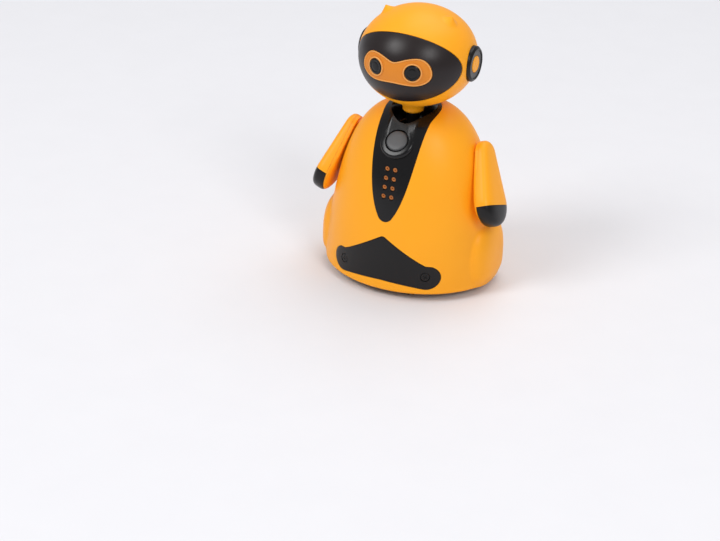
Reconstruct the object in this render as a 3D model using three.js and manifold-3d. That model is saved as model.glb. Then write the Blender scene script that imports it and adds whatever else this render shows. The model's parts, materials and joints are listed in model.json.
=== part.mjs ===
// A line-following toy robot: a bell-shaped orange body on two hidden drive wheels, a turning head with a
// black visor, two swinging arms, a chest button and the electronics inside. Millimetres, +Z up, the face
// looks along -Y, the robot's left is +X, and the origin is on the ground under the middle of the body.
import * as THREE from "three";
import { ConvexGeometry } from "three/addons/geometries/ConvexGeometry.js";
import { mergeVertices } from "three/addons/utils/BufferGeometryUtils.js";
import Module from "manifold-3d";

const wasm = await Module();
wasm.setup();

// ---------------------------------------------------------------- driving dimensions (mm)
const GAP = 0.3; // play between pieces that touch
const HEAD = { rx: 21.6, ry: 22.2, rz: 18.2, y: -2.4, z: 86.8, wall: 3.2, splitY: 8 };
const VISOR = { rx: 20.4, rz: 12.5, z: 87, thick: 1.3, backY: -8.9 };
const EYE = { x: 7.15, z: 87.5, radius: 2.8 };
const EAR = { y: -0.9, z: 86.6, radius: 6.5, face: 22.2, seat: 19.4, capRadius: 3 };
const HORN = { x: 11.9, y: -3.5, z: 98.6, length: 4.5, radius: 3.2, tilt: 0.42 };
const NECK = { y: -4.7, sleeveRadius: 3.9, sleeveBottom: 66, postRadius: 2.5, postTop: 73.6 };
const BODY = { radius: 33.7, depthRatio: 0.862, base: 4, top: 68.33, rim: 3, wall: 2.8 };
const FENDER = { x: 26.1, z: 9.8, rx: 9.1, ry: 13.2, rise: 17.6, drop: 10, power: 3.2, bottom: 2.5 };
const BIB = { tipZ: 29.7, tipRadius: 3.1, topHalf: 9.25, thick: 1.4 };
const COLLAR = { y: -4.2, radius: 10.3 };
const WELL = { y: -5.2, halfWidth: 6.8, depthRatio: 1.25, floor: 60, floorWall: 1.6 };
const PLATE = { apexZ: 24.2, lobeX: 17, lobeZ: 9.85, lobeRadius: 4.65, thick: 1.2 };
const BUTTON = { y: -18.2, z: 58.7, tilt: 45, radius: 3.9, pad: 6.1, travel: 1 };
const HOLES = { halfPitch: 1.55, rows: 4, topZ: 48.85, pitch: 3.28, radius: 0.95, soundRadius: 0.4 };
const ARM = { x: 26.5, y: 1, z: 51.8, tilt: 22.2, swing: 21.1, length: 18.2, top: 5, hand: 8.65 };
const ARM_HALF = { top: 3.45, hand: 3.8, innerTop: 1.05, innerHand: 3, thick: 1.4, power: 0.6, cuff: 19.2 };
const WHEEL = { x: 25.9, y: 1.5, radius: 9, width: 4, hubRadius: 6.6, axleRadius: 1, axleStart: 18.9 };
const GEAR = { module: 0.5, wheelTeeth: 24, pinionTeeth: 8, x: 21.2, thick: 2 };
const MOTOR = { y: -5.5, length: 14.4, width: 12, height: 10, innerX: 4 };
const BASE = { bottom: 4, top: 6, rx: 30.1, ry: 25.9 };
const CELL = { radius: 5.8, length: 5.3, y: 14, z: 11.9, pitch: 5.6 };
const DOOR = { halfX: 10.4, y0: 7.2, y1: 20.8, tabY: 22.8, thick: 1.4 };
const ROLLER = { x: 8.1, y: -21.5, radius: 3, width: 4, axleRadius: 0.75 };
const SWITCH = { x: -15, y: 6.5, travel: 2 };
const BOARD = { halfX: 19, y0: -16, y1: 8, z: 23, thick: 1.2 };

const gearDistance = (GEAR.module * (GEAR.wheelTeeth + GEAR.pinionTeeth)) / 2;
const motorZ = WHEEL.radius + Math.sqrt(gearDistance ** 2 - (MOTOR.y - WHEEL.y) ** 2);
const sides = { left: 1, right: -1 };
const degrees = Math.PI / 180;

// ---------------------------------------------------------------- materials
const plastic = (color, roughness) => new THREE.MeshStandardMaterial({ color, roughness, metalness: 0 });
const metal = (color, roughness) => new THREE.MeshStandardMaterial({ color, roughness, metalness: 1 });
const ORANGE = plastic(0xf9a11b, 0.4);
const MASK_ORANGE = plastic(0xdd8422, 0.45);
const SATIN_BLACK = plastic(0x2b2727, 0.42);
const GLOSS_BLACK = plastic(0x141414, 0.16);
const BUTTON_GREY = plastic(0x4a4a4a, 0.45);
const RUBBER = plastic(0x1a1a1a, 0.85);
const STEEL = metal(0xb8bcc0, 0.3);
const BRASS = metal(0xc9a44a, 0.35);
const BOARD_GREEN = plastic(0x1f6b3a, 0.5);
const GEAR_WHITE = plastic(0xe8e6df, 0.5);

// ---------------------------------------------------------------- solid helpers
// A closed geometry as a solid that can be joined and cut; triangles squashed to a line are dropped.
function solid(geometry) {
  const loose = geometry.index ? geometry.toNonIndexed() : geometry;
  const bare = new THREE.BufferGeometry().setAttribute("position", loose.getAttribute("position"));
  const merged = mergeVertices(bare, 1e-4);
  const index = merged.index.array;
  const kept = [];
  for (let i = 0; i < index.length; i += 3) {
    const [a, b, c] = [index[i], index[i + 1], index[i + 2]];
    if (a !== b && b !== c && c !== a) kept.push(a, b, c);
  }
  const vertProperties = merged.attributes.position.array;
  return new wasm.Manifold(new wasm.Mesh({ numProp: 3, vertProperties, triVerts: new Uint32Array(kept) }));
}

const join = (...solids) => solids.reduce((whole, piece) => whole.add(piece));
const cut = (whole, ...tools) => tools.reduce((rest, tool) => rest.subtract(tool), whole);

// A box from its lowest to its highest corner.
function block(x0, x1, y0, y1, z0, z1) {
  const box = new THREE.BoxGeometry(x1 - x0, y1 - y0, z1 - z0);
  return solid(box.translate((x0 + x1) / 2, (y0 + y1) / 2, (z0 + z1) / 2));
}

// A profile of [radius, height] pairs turned about Z; it starts and ends on the axis, or closes on itself.
function turnedGeometry(profile, segments = 24) {
  const points = profile.map(([radius, height]) => new THREE.Vector2(radius, height));
  return new THREE.LatheGeometry(points, segments).rotateX(Math.PI / 2);
}

const turned = (profile, segments) => solid(turnedGeometry(profile, segments));
const rodProfile = (radius, z0, z1) => [[0, z0], [radius, z0], [radius, z1], [0, z1]];

function rodZ(radius, z0, z1, x = 0, y = 0, segments = 12) {
  return solid(turnedGeometry(rodProfile(radius, z0, z1), segments).translate(x, y, 0));
}

function rodX(radius, x0, x1, y, z, segments = 12) {
  return solid(turnedGeometry(rodProfile(radius, x0, x1), segments).rotateY(Math.PI / 2).translate(0, y, z));
}

// A shape drawn in X and Z, with its depth along Y from y0 to y1.
function prism(shape, y0, y1, curveSegments = 4) {
  const options = { depth: y1 - y0, bevelEnabled: false, curveSegments };
  return solid(new THREE.ExtrudeGeometry(shape, options).rotateX(Math.PI / 2).translate(0, y1, 0));
}

// A rod along a direction from a point: its own Z axis is turned onto the direction.
function rodAlong(profile, point, direction, segments = 16) {
  const turn = new THREE.Quaternion().setFromUnitVectors(new THREE.Vector3(0, 0, 1), direction);
  const geometry = turnedGeometry(profile, segments).applyQuaternion(turn);
  return solid(geometry.translate(point.x, point.y, point.z));
}

// A quarter turn of |cos|^power and |sin|^power: a rounded profile from the lower pole to the upper one.
function roundedProfile(radius, half, power, steps) {
  const profile = [];
  for (let i = 0; i <= steps; i += 1) {
    const angle = Math.PI * (i / steps - 0.5);
    const [c, s] = [Math.cos(angle), Math.sin(angle)];
    const reach = i === 0 || i === steps ? 0 : radius * c ** power;
    profile.push([reach, half * Math.sign(s) * Math.abs(s) ** power]);
  }
  return profile;
}

// ---------------------------------------------------------------- the tree of meshes
const robot = new THREE.Group();

function addPart(name, piece, material, parent = robot) {
  const { vertProperties, triVerts } = piece.getMesh();
  const geometry = new THREE.BufferGeometry();
  geometry.setAttribute("position", new THREE.BufferAttribute(vertProperties, 3));
  geometry.setIndex(new THREE.BufferAttribute(triVerts, 1));
  geometry.computeVertexNormals();
  const mesh = new THREE.Mesh(geometry, material);
  mesh.name = name;
  parent.add(mesh);
}

function group(position, quaternion = new THREE.Quaternion()) {
  const place = new THREE.Group();
  place.position.copy(position);
  place.quaternion.copy(quaternion);
  robot.add(place);
  return place;
}

// ---------------------------------------------------------------- head
function ellipsoid(inset, segments, rows) {
  const ball = new THREE.SphereGeometry(1, segments, rows).rotateX(Math.PI / 2);
  ball.scale(HEAD.rx - inset, HEAD.ry - inset, HEAD.rz - inset);
  return solid(ball.translate(0, HEAD.y, HEAD.z));
}

function visorShape(grow) {
  const shape = new THREE.Shape();
  return shape.absellipse(0, VISOR.z, VISOR.rx + grow, VISOR.rz + grow, 0, 2 * Math.PI, false, 0);
}

// One goggle outline round both eyes, drawn for the left half and mirrored.
function maskShape() {
  const half = [
    [1.6, 90.6, 4.2, 92.6, 8.2, 92.6],
    [11.4, 92.6, 13.4, 89.6, 13.4, 86.9],
    [13.4, 84.2, 10.6, 82.3, 7, 82.3],
    [4.6, 82.3, 2.4, 82.7, 0, 82.7],
  ];
  const shape = new THREE.Shape().moveTo(0, 90.7);
  half.forEach((curve) => shape.bezierCurveTo(...curve));
  const starts = [[0, 90.7], ...half.map((curve) => curve.slice(4))];
  for (let i = half.length - 1; i >= 0; i -= 1) {
    const [ax, az, bx, bz] = half[i];
    shape.bezierCurveTo(-bx, bz, -ax, az, -starts[i][0], starts[i][1]);
  }
  return shape;
}

function buildHead() {
  const outer = ellipsoid(0, 24, 12);
  const inner = ellipsoid(HEAD.wall, 12, 6);
  const front = -40;
  const visorZone = prism(visorShape(0), front, VISOR.backY, 8);
  const seatZone = prism(visorShape(GAP), front, VISOR.backY + GAP, 8);
  const visorBack = ellipsoid(VISOR.thick, 16, 8);
  const seatBack = ellipsoid(VISOR.thick + GAP, 16, 8);

  const horn = (side) => {
    const profile = [[0, 0], [HORN.radius, 0], [HORN.radius * 0.5, HORN.length * 0.62], [0, HORN.length]];
    const point = new THREE.Vector3(side * HORN.x, HORN.y, HORN.z);
    const direction = new THREE.Vector3(side * Math.sin(HORN.tilt), 0, Math.cos(HORN.tilt));
    return rodAlong(profile, point, direction, 12).subtract(inner);
  };
  const earSeat = (side) => {
    const [x0, x1] = [side * (EAR.seat - GAP), side * (EAR.face + 2)].sort((a, b) => a - b);
    return rodX(EAR.radius + GAP, x0, x1, EAR.y, EAR.z, 18);
  };
  const earWall = (side) => {
    const [x0, x1] = [side * (EAR.seat - GAP - 1.6), side * (EAR.face - 2)].sort((a, b) => a - b);
    return rodX(EAR.radius + GAP + 1.6, x0, x1, EAR.y, EAR.z, 12).intersect(outer);
  };
  // Each eye sits square to the head's surface.
  const eyeFrame = (side) => {
    const across = (EYE.x / HEAD.rx) ** 2 + ((EYE.z - HEAD.z) / HEAD.rz) ** 2;
    const y = HEAD.y - HEAD.ry * Math.sqrt(1 - across);
    const normal = new THREE.Vector3(side * EYE.x / HEAD.rx ** 2, (y - HEAD.y) / HEAD.ry ** 2, 0).normalize();
    return { point: new THREE.Vector3(side * EYE.x, y, EYE.z), normal };
  };
  const eyeRod = (side, profile) => rodAlong(profile, eyeFrame(side).point, eyeFrame(side).normal);
  const eyeHole = (side) => eyeRod(side, rodProfile(EYE.radius - 0.5, -6, 4));

  const sleeveTop = NECK.postTop - 0.4;
  const sleeve = rodZ(NECK.sleeveRadius, NECK.sleeveBottom, sleeveTop, 0, NECK.y, 16);
  const bore = rodZ(NECK.postRadius + GAP, NECK.sleeveBottom - 1, sleeveTop + 1, 0, NECK.y);
  const shell = join(outer.subtract(inner), horn(1), horn(-1), earWall(1), earWall(-1));
  const seated = cut(shell, seatZone.subtract(seatBack), earSeat(1), earSeat(-1), eyeHole(1), eyeHole(-1));
  const whole = seated.add(sleeve).subtract(bore);
  const half = 60;
  const frontSide = block(-half, half, -half, HEAD.splitY - GAP / 2, 0, 200);
  const rearSide = block(-half, half, HEAD.splitY + GAP / 2, half, 0, 200);
  addPart("head_front_shell", whole.intersect(frontSide), ORANGE);
  addPart("head_rear_shell", whole.intersect(rearSide), ORANGE);

  const maskZone = prism(maskShape(), front, HEAD.y - 10, 3);
  const maskSeat = ellipsoid(0.8, 16, 8);
  const visor = outer.subtract(visorBack).intersect(visorZone);
  const maskRoom = prism(maskShape(), front, HEAD.y - 10, 3).subtract(maskSeat);
  addPart("visor", cut(visor, maskRoom, eyeHole(1), eyeHole(-1)), SATIN_BLACK);
  const maskBack = ellipsoid(0.8 - GAP, 16, 8);
  const mask = outer.subtract(maskBack).intersect(maskZone);
  const eyeRoom = (side) => eyeRod(side, rodProfile(EYE.radius + GAP, -6, 4));
  addPart("eye_mask", cut(mask, eyeRoom(1), eyeRoom(-1)), MASK_ORANGE);

  for (const [label, side] of Object.entries(sides)) {
    const lens = [[0, -3], [EYE.radius - 0.8, -3], [EYE.radius - 0.8, -0.45], [EYE.radius, -0.45]];
    lens.push([EYE.radius, 0], [EYE.radius - 0.5, 0.2], [0, 0.3]);
    addPart(`eye_${label}`, eyeRod(side, lens), GLOSS_BLACK);

    const outward = new THREE.Vector3(side, 0, 0);
    const seat = new THREE.Vector3(side * EAR.seat, EAR.y, EAR.z);
    const rim = EAR.face - EAR.seat;
    const cupRadius = EAR.capRadius + GAP;
    const disc = [[0, 0], [EAR.radius, 0], [EAR.radius, rim - 0.7], [EAR.radius - 0.7, rim]];
    disc.push([EAR.radius - 1.3, rim - 0.2], [cupRadius, rim - 0.4], [cupRadius, rim - 1.6], [0, rim - 1.6]);
    addPart(`ear_disc_${label}`, rodAlong(disc, seat, outward, 18), SATIN_BLACK);
    const cap = [[0, rim - 1.3], [EAR.capRadius, rim - 1.3], [EAR.capRadius, rim - 0.4], [0, rim - 0.1]];
    addPart(`ear_cap_${label}`, rodAlong(cap, seat, outward, 14), ORANGE);

  }
  // The board behind the eyes, with a light-emitting diode soldered behind each lens.
  const diode = (side) => {
    const profile = [[0, 0], [1.9, 0], [1.9, 1.2], [1.5, 1.2], [1.5, 3], [0.9, 3.8], [0, 4.1]];
    return rodAlong(profile, new THREE.Vector3(side * EYE.x, -15, EYE.z), new THREE.Vector3(0, -1, 0), 12);
  };
  const ledBoard = block(-10.2, 10.2, -15.2, -14, EYE.z - 4, EYE.z + 4);
  addPart("eye_led_board", join(ledBoard, diode(1), diode(-1)), BOARD_GREEN);
}

// ---------------------------------------------------------------- body outline and panels
// The bell: one curve from the base to the dome, turned about Z and flattened front to back.
function bell(inset, segments, rows, bottom) {
  const curve = new THREE.CubicBezierCurve(
    new THREE.Vector2(BODY.radius, BODY.base),
    new THREE.Vector2(29.44, 71),
    new THREE.Vector2(10.56, BODY.top),
    new THREE.Vector2(0, BODY.top),
  );
  const profile = [[0, bottom]];
  if (inset > 0) profile.push([BODY.radius - inset, bottom]);
  else profile.push([BODY.radius - 0.9, bottom]);
  for (let i = 0; i <= rows; i += 1) {
    const share = (i / rows) ** 1.3;
    const point = curve.getPoint(share);
    const tangent = curve.getTangent(share);
    const radius = i === rows ? 0 : point.x - inset * tangent.y;
    profile.push([radius, point.y + inset * tangent.x]);
  }
  return solid(turnedGeometry(profile, segments).scale(1, BODY.depthRatio, 1));
}

// The chest panel's outline: a round tip that widens to the collar.
function bibShape(grow) {
  const tipZ = BIB.tipZ + BIB.tipRadius;
  const radius = BIB.tipRadius + grow;
  const lean = -32.7 * degrees;
  const start = [radius * Math.cos(lean), tipZ + radius * Math.sin(lean)];
  const shape = new THREE.Shape().moveTo(...start);
  shape.bezierCurveTo(7 + grow, 38, 8.4 + grow, 50, BIB.topHalf + grow, 61);
  shape.lineTo(BIB.topHalf + grow + 1, 72);
  shape.lineTo(-BIB.topHalf - grow - 1, 72);
  shape.lineTo(-BIB.topHalf - grow, 61);
  shape.bezierCurveTo(-8.4 - grow, 50, -7 - grow, 38, -start[0], start[1]);
  shape.absarc(0, tipZ, radius, Math.PI - lean, 2 * Math.PI + lean, false);
  return shape;
}

// The lower front plate: a low gable between two round lobes.
function plateShape(grow) {
  const radius = PLATE.lobeRadius + grow;
  const [top, apex, notch] = [PLATE.apexZ + grow, 1.1, 16];
  const reach = notch - PLATE.lobeX;
  const notchZ = PLATE.lobeZ + Math.sqrt(radius ** 2 - reach ** 2);
  const notchAngle = Math.atan2(notchZ - PLATE.lobeZ, reach);
  const footAngle = -95 * degrees;
  const footX = PLATE.lobeX + radius * Math.cos(footAngle);
  const footZ = PLATE.lobeZ + radius * Math.sin(footAngle);
  const shape = new THREE.Shape().moveTo(0, 7 - grow);
  shape.quadraticCurveTo(9, 6.7 - grow, footX, footZ);
  shape.absarc(PLATE.lobeX, PLATE.lobeZ, radius, footAngle, notchAngle, false);
  shape.lineTo(apex, top - 0.5);
  shape.quadraticCurveTo(0, top + 0.2, -apex, top - 0.5);
  shape.lineTo(-notch, notchZ);
  shape.absarc(-PLATE.lobeX, PLATE.lobeZ, radius, Math.PI - notchAngle, Math.PI - footAngle, false);
  shape.quadraticCurveTo(-9, 6.7 - grow, 0, 7 - grow);
  return shape;
}

const buttonNormal = new THREE.Vector3(0, -Math.cos(BUTTON.tilt * degrees), Math.sin(BUTTON.tilt * degrees));
const buttonCentre = new THREE.Vector3(0, BUTTON.y, BUTTON.z);
const buttonRod = (radius, z0, z1, segments = 16) =>
  rodAlong(rodProfile(radius, z0, z1), buttonCentre, buttonNormal, segments);

// The screws of the front plate stand square to the bell's surface.
function plateScrewFrame(side) {
  const x = side * 16.6;
  const surfaceRadius = BODY.radius - 0.25;
  const y = -BODY.depthRatio * Math.sqrt(surfaceRadius ** 2 - x ** 2);
  const normal = new THREE.Vector3(x, y / BODY.depthRatio ** 2, 0).normalize();
  return { point: new THREE.Vector3(x, y, 10.2), normal };
}

const armTilt = ARM.tilt * degrees;
const armSwing = ARM.swing * degrees;

// The arm's frame: X points out of the shoulder, Z points from the hand to the shoulder.
function armFrame(side) {
  const outward = new THREE.Vector3(side * Math.cos(armTilt), 0, Math.sin(armTilt));
  const hanging = new THREE.Vector3(side * Math.sin(armTilt), 0, -Math.cos(armTilt));
  const down = hanging.multiplyScalar(Math.cos(armSwing)).add(new THREE.Vector3(0, -Math.sin(armSwing), 0));
  const up = down.negate();
  const across = new THREE.Vector3().crossVectors(up, outward);
  const matrix = new THREE.Matrix4().makeBasis(outward, across, up);
  const turn = new THREE.Quaternion().setFromRotationMatrix(matrix);
  return { outward, turn, point: new THREE.Vector3(side * ARM.x, ARM.y, ARM.z) };
}

const baseScrews = [[22, -14.8], [-22, -14.8], [14.6, 20.2], [-14.6, 20.2]];

function soundHoles(radius, y0, y1, segments) {
  const holes = [];
  for (let row = 0; row < HOLES.rows; row += 1) {
    for (const side of [1, -1]) {
      const point = new THREE.Vector3(side * HOLES.halfPitch, y1, HOLES.topZ - row * HOLES.pitch);
      holes.push(rodAlong(rodProfile(radius, 0, y1 - y0), point, new THREE.Vector3(0, -1, 0), segments));
    }
  }
  return join(...holes);
}

// A boxy egg that is taller above its widest level than below it.
function fender(side) {
  const power = FENDER.power;
  const pod = turnedGeometry(roundedProfile(1, 1, 2 / power, 10), 20);
  const position = pod.getAttribute("position");
  for (let i = 0; i < position.count; i += 1) {
    const [x, y, z] = [position.getX(i), position.getY(i), position.getZ(i)];
    const spread = Math.hypot(x, y) / (Math.abs(x) ** power + Math.abs(y) ** power) ** (1 / power) || 1;
    const height = z > 0 ? FENDER.rise : FENDER.drop;
    position.setXYZ(i, x * spread * FENDER.rx, y * spread * FENDER.ry, z * height);
  }
  const placed = solid(pod.translate(side * FENDER.x, 0, FENDER.z));
  return placed.subtract(block(-50, 50, -50, 50, -10, FENDER.bottom));
}

function buildBody() {
  const outer = bell(0, 28, 8, BODY.rim);
  const inner = bell(BODY.wall, 24, 7, 0);

  const screwBoss = ([x, y]) => rodZ(3.1, BASE.top + GAP, 18, x, y, 8);
  const bossHole = ([x, y]) => rodZ(1.4, BASE.top, 14, x, y, 6);
  const plateBoss = (side) => {
    const { point, normal } = plateScrewFrame(side);
    return rodAlong(rodProfile(2.6, -6, -1.6), point, normal, 8);
  };
  const plateHole = (side) => {
    const { point, normal } = plateScrewFrame(side);
    return rodAlong(rodProfile(1.3, -5, 3), point, normal, 6);
  };
  const shoulderHole = (side) => {
    const { point, outward } = armFrame(side);
    return rodAlong(rodProfile(2.75, -14, 2), point, outward, 12);
  };

  const shell = join(outer, fender(1), fender(-1)).subtract(inner);
  const bosses = baseScrews.map((place) => screwBoss(place).intersect(outer));
  const lined = join(shell, plateBoss(1), plateBoss(-1), ...bosses);
  const bibRecess = prism(bibShape(GAP), -40, -2).subtract(bell(BIB.thick + GAP, 16, 6, 0));
  const collarZone = rodZ(COLLAR.radius + GAP, 55, 75, 0, COLLAR.y, 20);
  const collarRecess = collarZone.subtract(bell(BIB.thick + GAP, 16, 6, 0));
  const plateRecess = prism(plateShape(GAP), -40, -2).subtract(bell(PLATE.thick + GAP, 16, 6, 0));
  const neckRadius = WELL.halfWidth + WELL.floorWall + GAP;
  const neckHole = turnedGeometry(rodProfile(neckRadius, 50, 75), 20).scale(1, WELL.depthRatio, 1);
  const neckRoom = solid(neckHole.translate(0, WELL.y, 0));
  const buttonRoom = buttonRod(BUTTON.pad + 1, -9, 8);
  const holes = soundHoles(HOLES.soundRadius, -30, -8, 4);
  const body = cut(
    lined, bibRecess, collarRecess, plateRecess, neckRoom, buttonRoom, holes,
    plateHole(1), plateHole(-1), shoulderHole(1), shoulderHole(-1), ...baseScrews.map(bossHole),
  );
  addPart("body_shell", body, ORANGE);

  buildBib(outer);
  const plateZone = prism(plateShape(0), -40, -2);
  const plateSkin = outer.subtract(bell(PLATE.thick, 16, 6, 0)).intersect(plateZone);
  const counterbore = (side) => {
    const { point, normal } = plateScrewFrame(side);
    return rodAlong([[0, -5], [1.3, -5], [1.3, -0.8], [2.3, -0.8], [2.3, 3], [0, 3]], point, normal, 12);
  };
  addPart("front_plate", cut(plateSkin, counterbore(1), counterbore(-1)), SATIN_BLACK);
  for (const [label, side] of Object.entries(sides)) {
    const { point, normal } = plateScrewFrame(side);
    const screw = [[0, -4.8], [1, -4.4], [1, -0.5], [2, -0.5], [2, -0.1], [1.7, 0.1], [0, 0.1]];
    addPart(`plate_screw_${label}`, rodAlong(screw, point, normal, 12), SATIN_BLACK);
  }
}

// The chest panel runs up into a collar round the neck well, with a raised pad for the button.
function buildBib(outer) {
  const skin = outer.subtract(bell(BIB.thick, 16, 6, 0));
  const collar = rodZ(COLLAR.radius, 50, 75, 0, COLLAR.y, 20);
  const zone = prism(bibShape(0), -40, COLLAR.y).add(collar.subtract(block(-20, 20, -40, 20, 0, 56)));
  const wellProfile = (grow) => [
    [0, WELL.floor - grow], [WELL.halfWidth - 1.4 + grow, WELL.floor - grow],
    [WELL.halfWidth - 0.6 + grow, WELL.floor + 1.4], [WELL.halfWidth + grow, 72], [0, 72],
  ];
  const well = (grow) =>
    solid(turnedGeometry(wellProfile(grow), 16).scale(1, WELL.depthRatio, 1).translate(0, WELL.y, 0));
  const inside = bell(0.2, 16, 6, 0);
  const bowl = well(WELL.floorWall).intersect(inside);
  const pad = buttonRod(BUTTON.pad, -1.9, 0);
  const panel = join(skin.intersect(zone), bowl, pad);
  const bib = cut(
    panel, well(0), buttonRod(BUTTON.pad, 0, 8),
    buttonRod(BUTTON.radius + GAP, -8, 8), buttonRod(BUTTON.radius + 1.4, -8, -1.9),
    rodZ(NECK.postRadius + GAP, 50, 75, 0, NECK.y),
    soundHoles(HOLES.radius, -40, -8, 6),
  );
  addPart("bib_panel", bib, GLOSS_BLACK);
}

// ---------------------------------------------------------------- chest button, speaker and neck post
function buildChest() {
  const button = [[0, -3], [BUTTON.radius + 1, -3], [BUTTON.radius + 1, -2.2], [BUTTON.radius, -2.2]];
  button.push([BUTTON.radius, 0], [BUTTON.radius - 0.5, 0.4], [0, 0.5]);
  addPart("mode_button", rodAlong(button, buttonCentre, buttonNormal, 20), BUTTON_GREY);

  const facing = new THREE.Quaternion().setFromUnitVectors(new THREE.Vector3(0, 0, 1), buttonNormal);
  const chest = group(buttonCentre, facing);
  // The button presses a push switch that is soldered to its own small board.
  const plunger = rodZ(1.5, -5, -3.1 - BUTTON.travel, 0, 0, 12);
  const pushSwitch = block(-3, 3, -3, 3, -7.2, -4.9).add(plunger);
  addPart("button_board", block(-5, 5, -4.5, 4.5, -8.1, -7.1).add(pushSwitch), BOARD_GREEN, chest);

  const speakerTilt = new THREE.Quaternion().setFromAxisAngle(new THREE.Vector3(1, 0, 0), 73.3 * degrees);
  const chestWall = group(new THREE.Vector3(0, -17.6, 40.3), speakerTilt);
  const cone = [[0, -4], [5, -4], [5, -2.2], [8, -1], [8, 0], [6.6, 0], [3, -1.2], [0, -1.2]];
  addPart("speaker", turned(cone, 14), STEEL, chestWall);

  const floorUnder = WELL.floor - WELL.floorWall - GAP;
  const post = [
    [0, floorUnder - 1.5], [4.4, floorUnder - 1.5], [4.4, floorUnder], [NECK.postRadius, floorUnder],
    [NECK.postRadius, NECK.postTop], [1.2, NECK.postTop], [1.2, NECK.postTop - 7], [0, NECK.postTop - 7],
  ];
  const neck = group(new THREE.Vector3(0, NECK.y, 0));
  addPart("neck_post", turned(post, 12), SATIN_BLACK, neck);
  const top = NECK.postTop + GAP;
  const screw = [
    [0, top - 6], [0.85, top - 5.6], [0.85, top], [4.2, top], [4.2, top + 0.8], [2.4, top + 0.8],
    [2.4, top + 1.8], [0, top + 2.2],
  ];
  addPart("neck_screw", turned(screw, 10), STEEL, neck);
}

// ---------------------------------------------------------------- arms
function lozengePoints(radius, half, down) {
  const geometry = turnedGeometry(roundedProfile(radius, half, ARM_HALF.power, 8), 16).rotateY(Math.PI / 2);
  const position = geometry.translate(0, 0, -down).getAttribute("position");
  const corner = (_, i) => new THREE.Vector3().fromBufferAttribute(position, i);
  return Array.from({ length: position.count }, corner);
}

function buildArms() {
  const top = lozengePoints(ARM.top, ARM_HALF.top, 0);
  const hand = lozengePoints(ARM.hand, ARM_HALF.hand, ARM.length);
  const whole = solid(new ConvexGeometry([...top, ...hand]));
  const lean = Math.atan2(ARM_HALF.innerHand - ARM_HALF.innerTop, ARM.length);
  const behind = (depth) => {
    const slab = new THREE.BoxGeometry(20, 40, 80).translate(-10, 0, 0).rotateY(lean);
    return solid(slab.translate(depth - ARM_HALF.innerTop, 0, 0));
  };
  const innerHalf = whole.intersect(behind(ARM_HALF.thick - GAP / 2)).subtract(behind(0));
  const outerHalf = whole.subtract(behind(ARM_HALF.thick + GAP / 2));
  const upper = outerHalf.intersect(block(-20, 20, -30, 30, -ARM_HALF.cuff + GAP / 2, 30));
  const cuff = outerHalf.intersect(block(-20, 20, -30, 30, -60, -ARM_HALF.cuff - GAP / 2));
  const pin = rodX(2.4, -8.2, -ARM_HALF.innerTop + 0.6, 0, 0);
  const barb = rodX(3.3, -8.2, -7.2, 0, 0);
  const slot = block(-9, -4.6, -0.5, 0.5, -4, 4);
  const innerPiece = join(innerHalf, pin, barb).subtract(slot);
  for (const [label, side] of Object.entries(sides)) {
    const { point, turn } = armFrame(side);
    const arm = group(point, turn);
    addPart(`arm_inner_${label}`, innerPiece, ORANGE, arm);
    addPart(`arm_outer_${label}`, upper, ORANGE, arm);
    addPart(`hand_${label}`, cuff, SATIN_BLACK, arm);
  }
}

// ---------------------------------------------------------------- wheels, gears and rollers
function gearShape(teeth, boreRadius, turn) {
  const pitchRadius = (GEAR.module * teeth) / 2;
  const rootRadius = pitchRadius - 1.2 * GEAR.module;
  const tipRadius = pitchRadius + 0.85 * GEAR.module;
  const step = (2 * Math.PI) / teeth;
  const corners = [[-0.3, rootRadius], [-0.12, tipRadius], [0.12, tipRadius], [0.3, rootRadius]];
  const points = [];
  for (let tooth = 0; tooth < teeth; tooth += 1) {
    for (const [share, radius] of corners) {
      const angle = turn + (tooth + share) * step;
      points.push(new THREE.Vector2(radius * Math.cos(angle), radius * Math.sin(angle)));
    }
  }
  const shape = new THREE.Shape(points);
  if (boreRadius > 0) shape.holes.push(new THREE.Path().absarc(0, 0, boreRadius, 0, 2 * Math.PI, true));
  return shape;
}

// A gear in the YZ plane, centred on x = 0.
function gear(teeth, boreRadius, turn) {
  const options = { depth: GEAR.thick, bevelEnabled: false, curveSegments: 8 };
  const geometry = new THREE.ExtrudeGeometry(gearShape(teeth, boreRadius, turn), options);
  const upright = new THREE.Matrix4().makeBasis(
    new THREE.Vector3(0, 1, 0), new THREE.Vector3(0, 0, 1), new THREE.Vector3(1, 0, 0),
  );
  return solid(geometry.translate(0, 0, -GEAR.thick / 2).applyMatrix4(upright));
}

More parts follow.
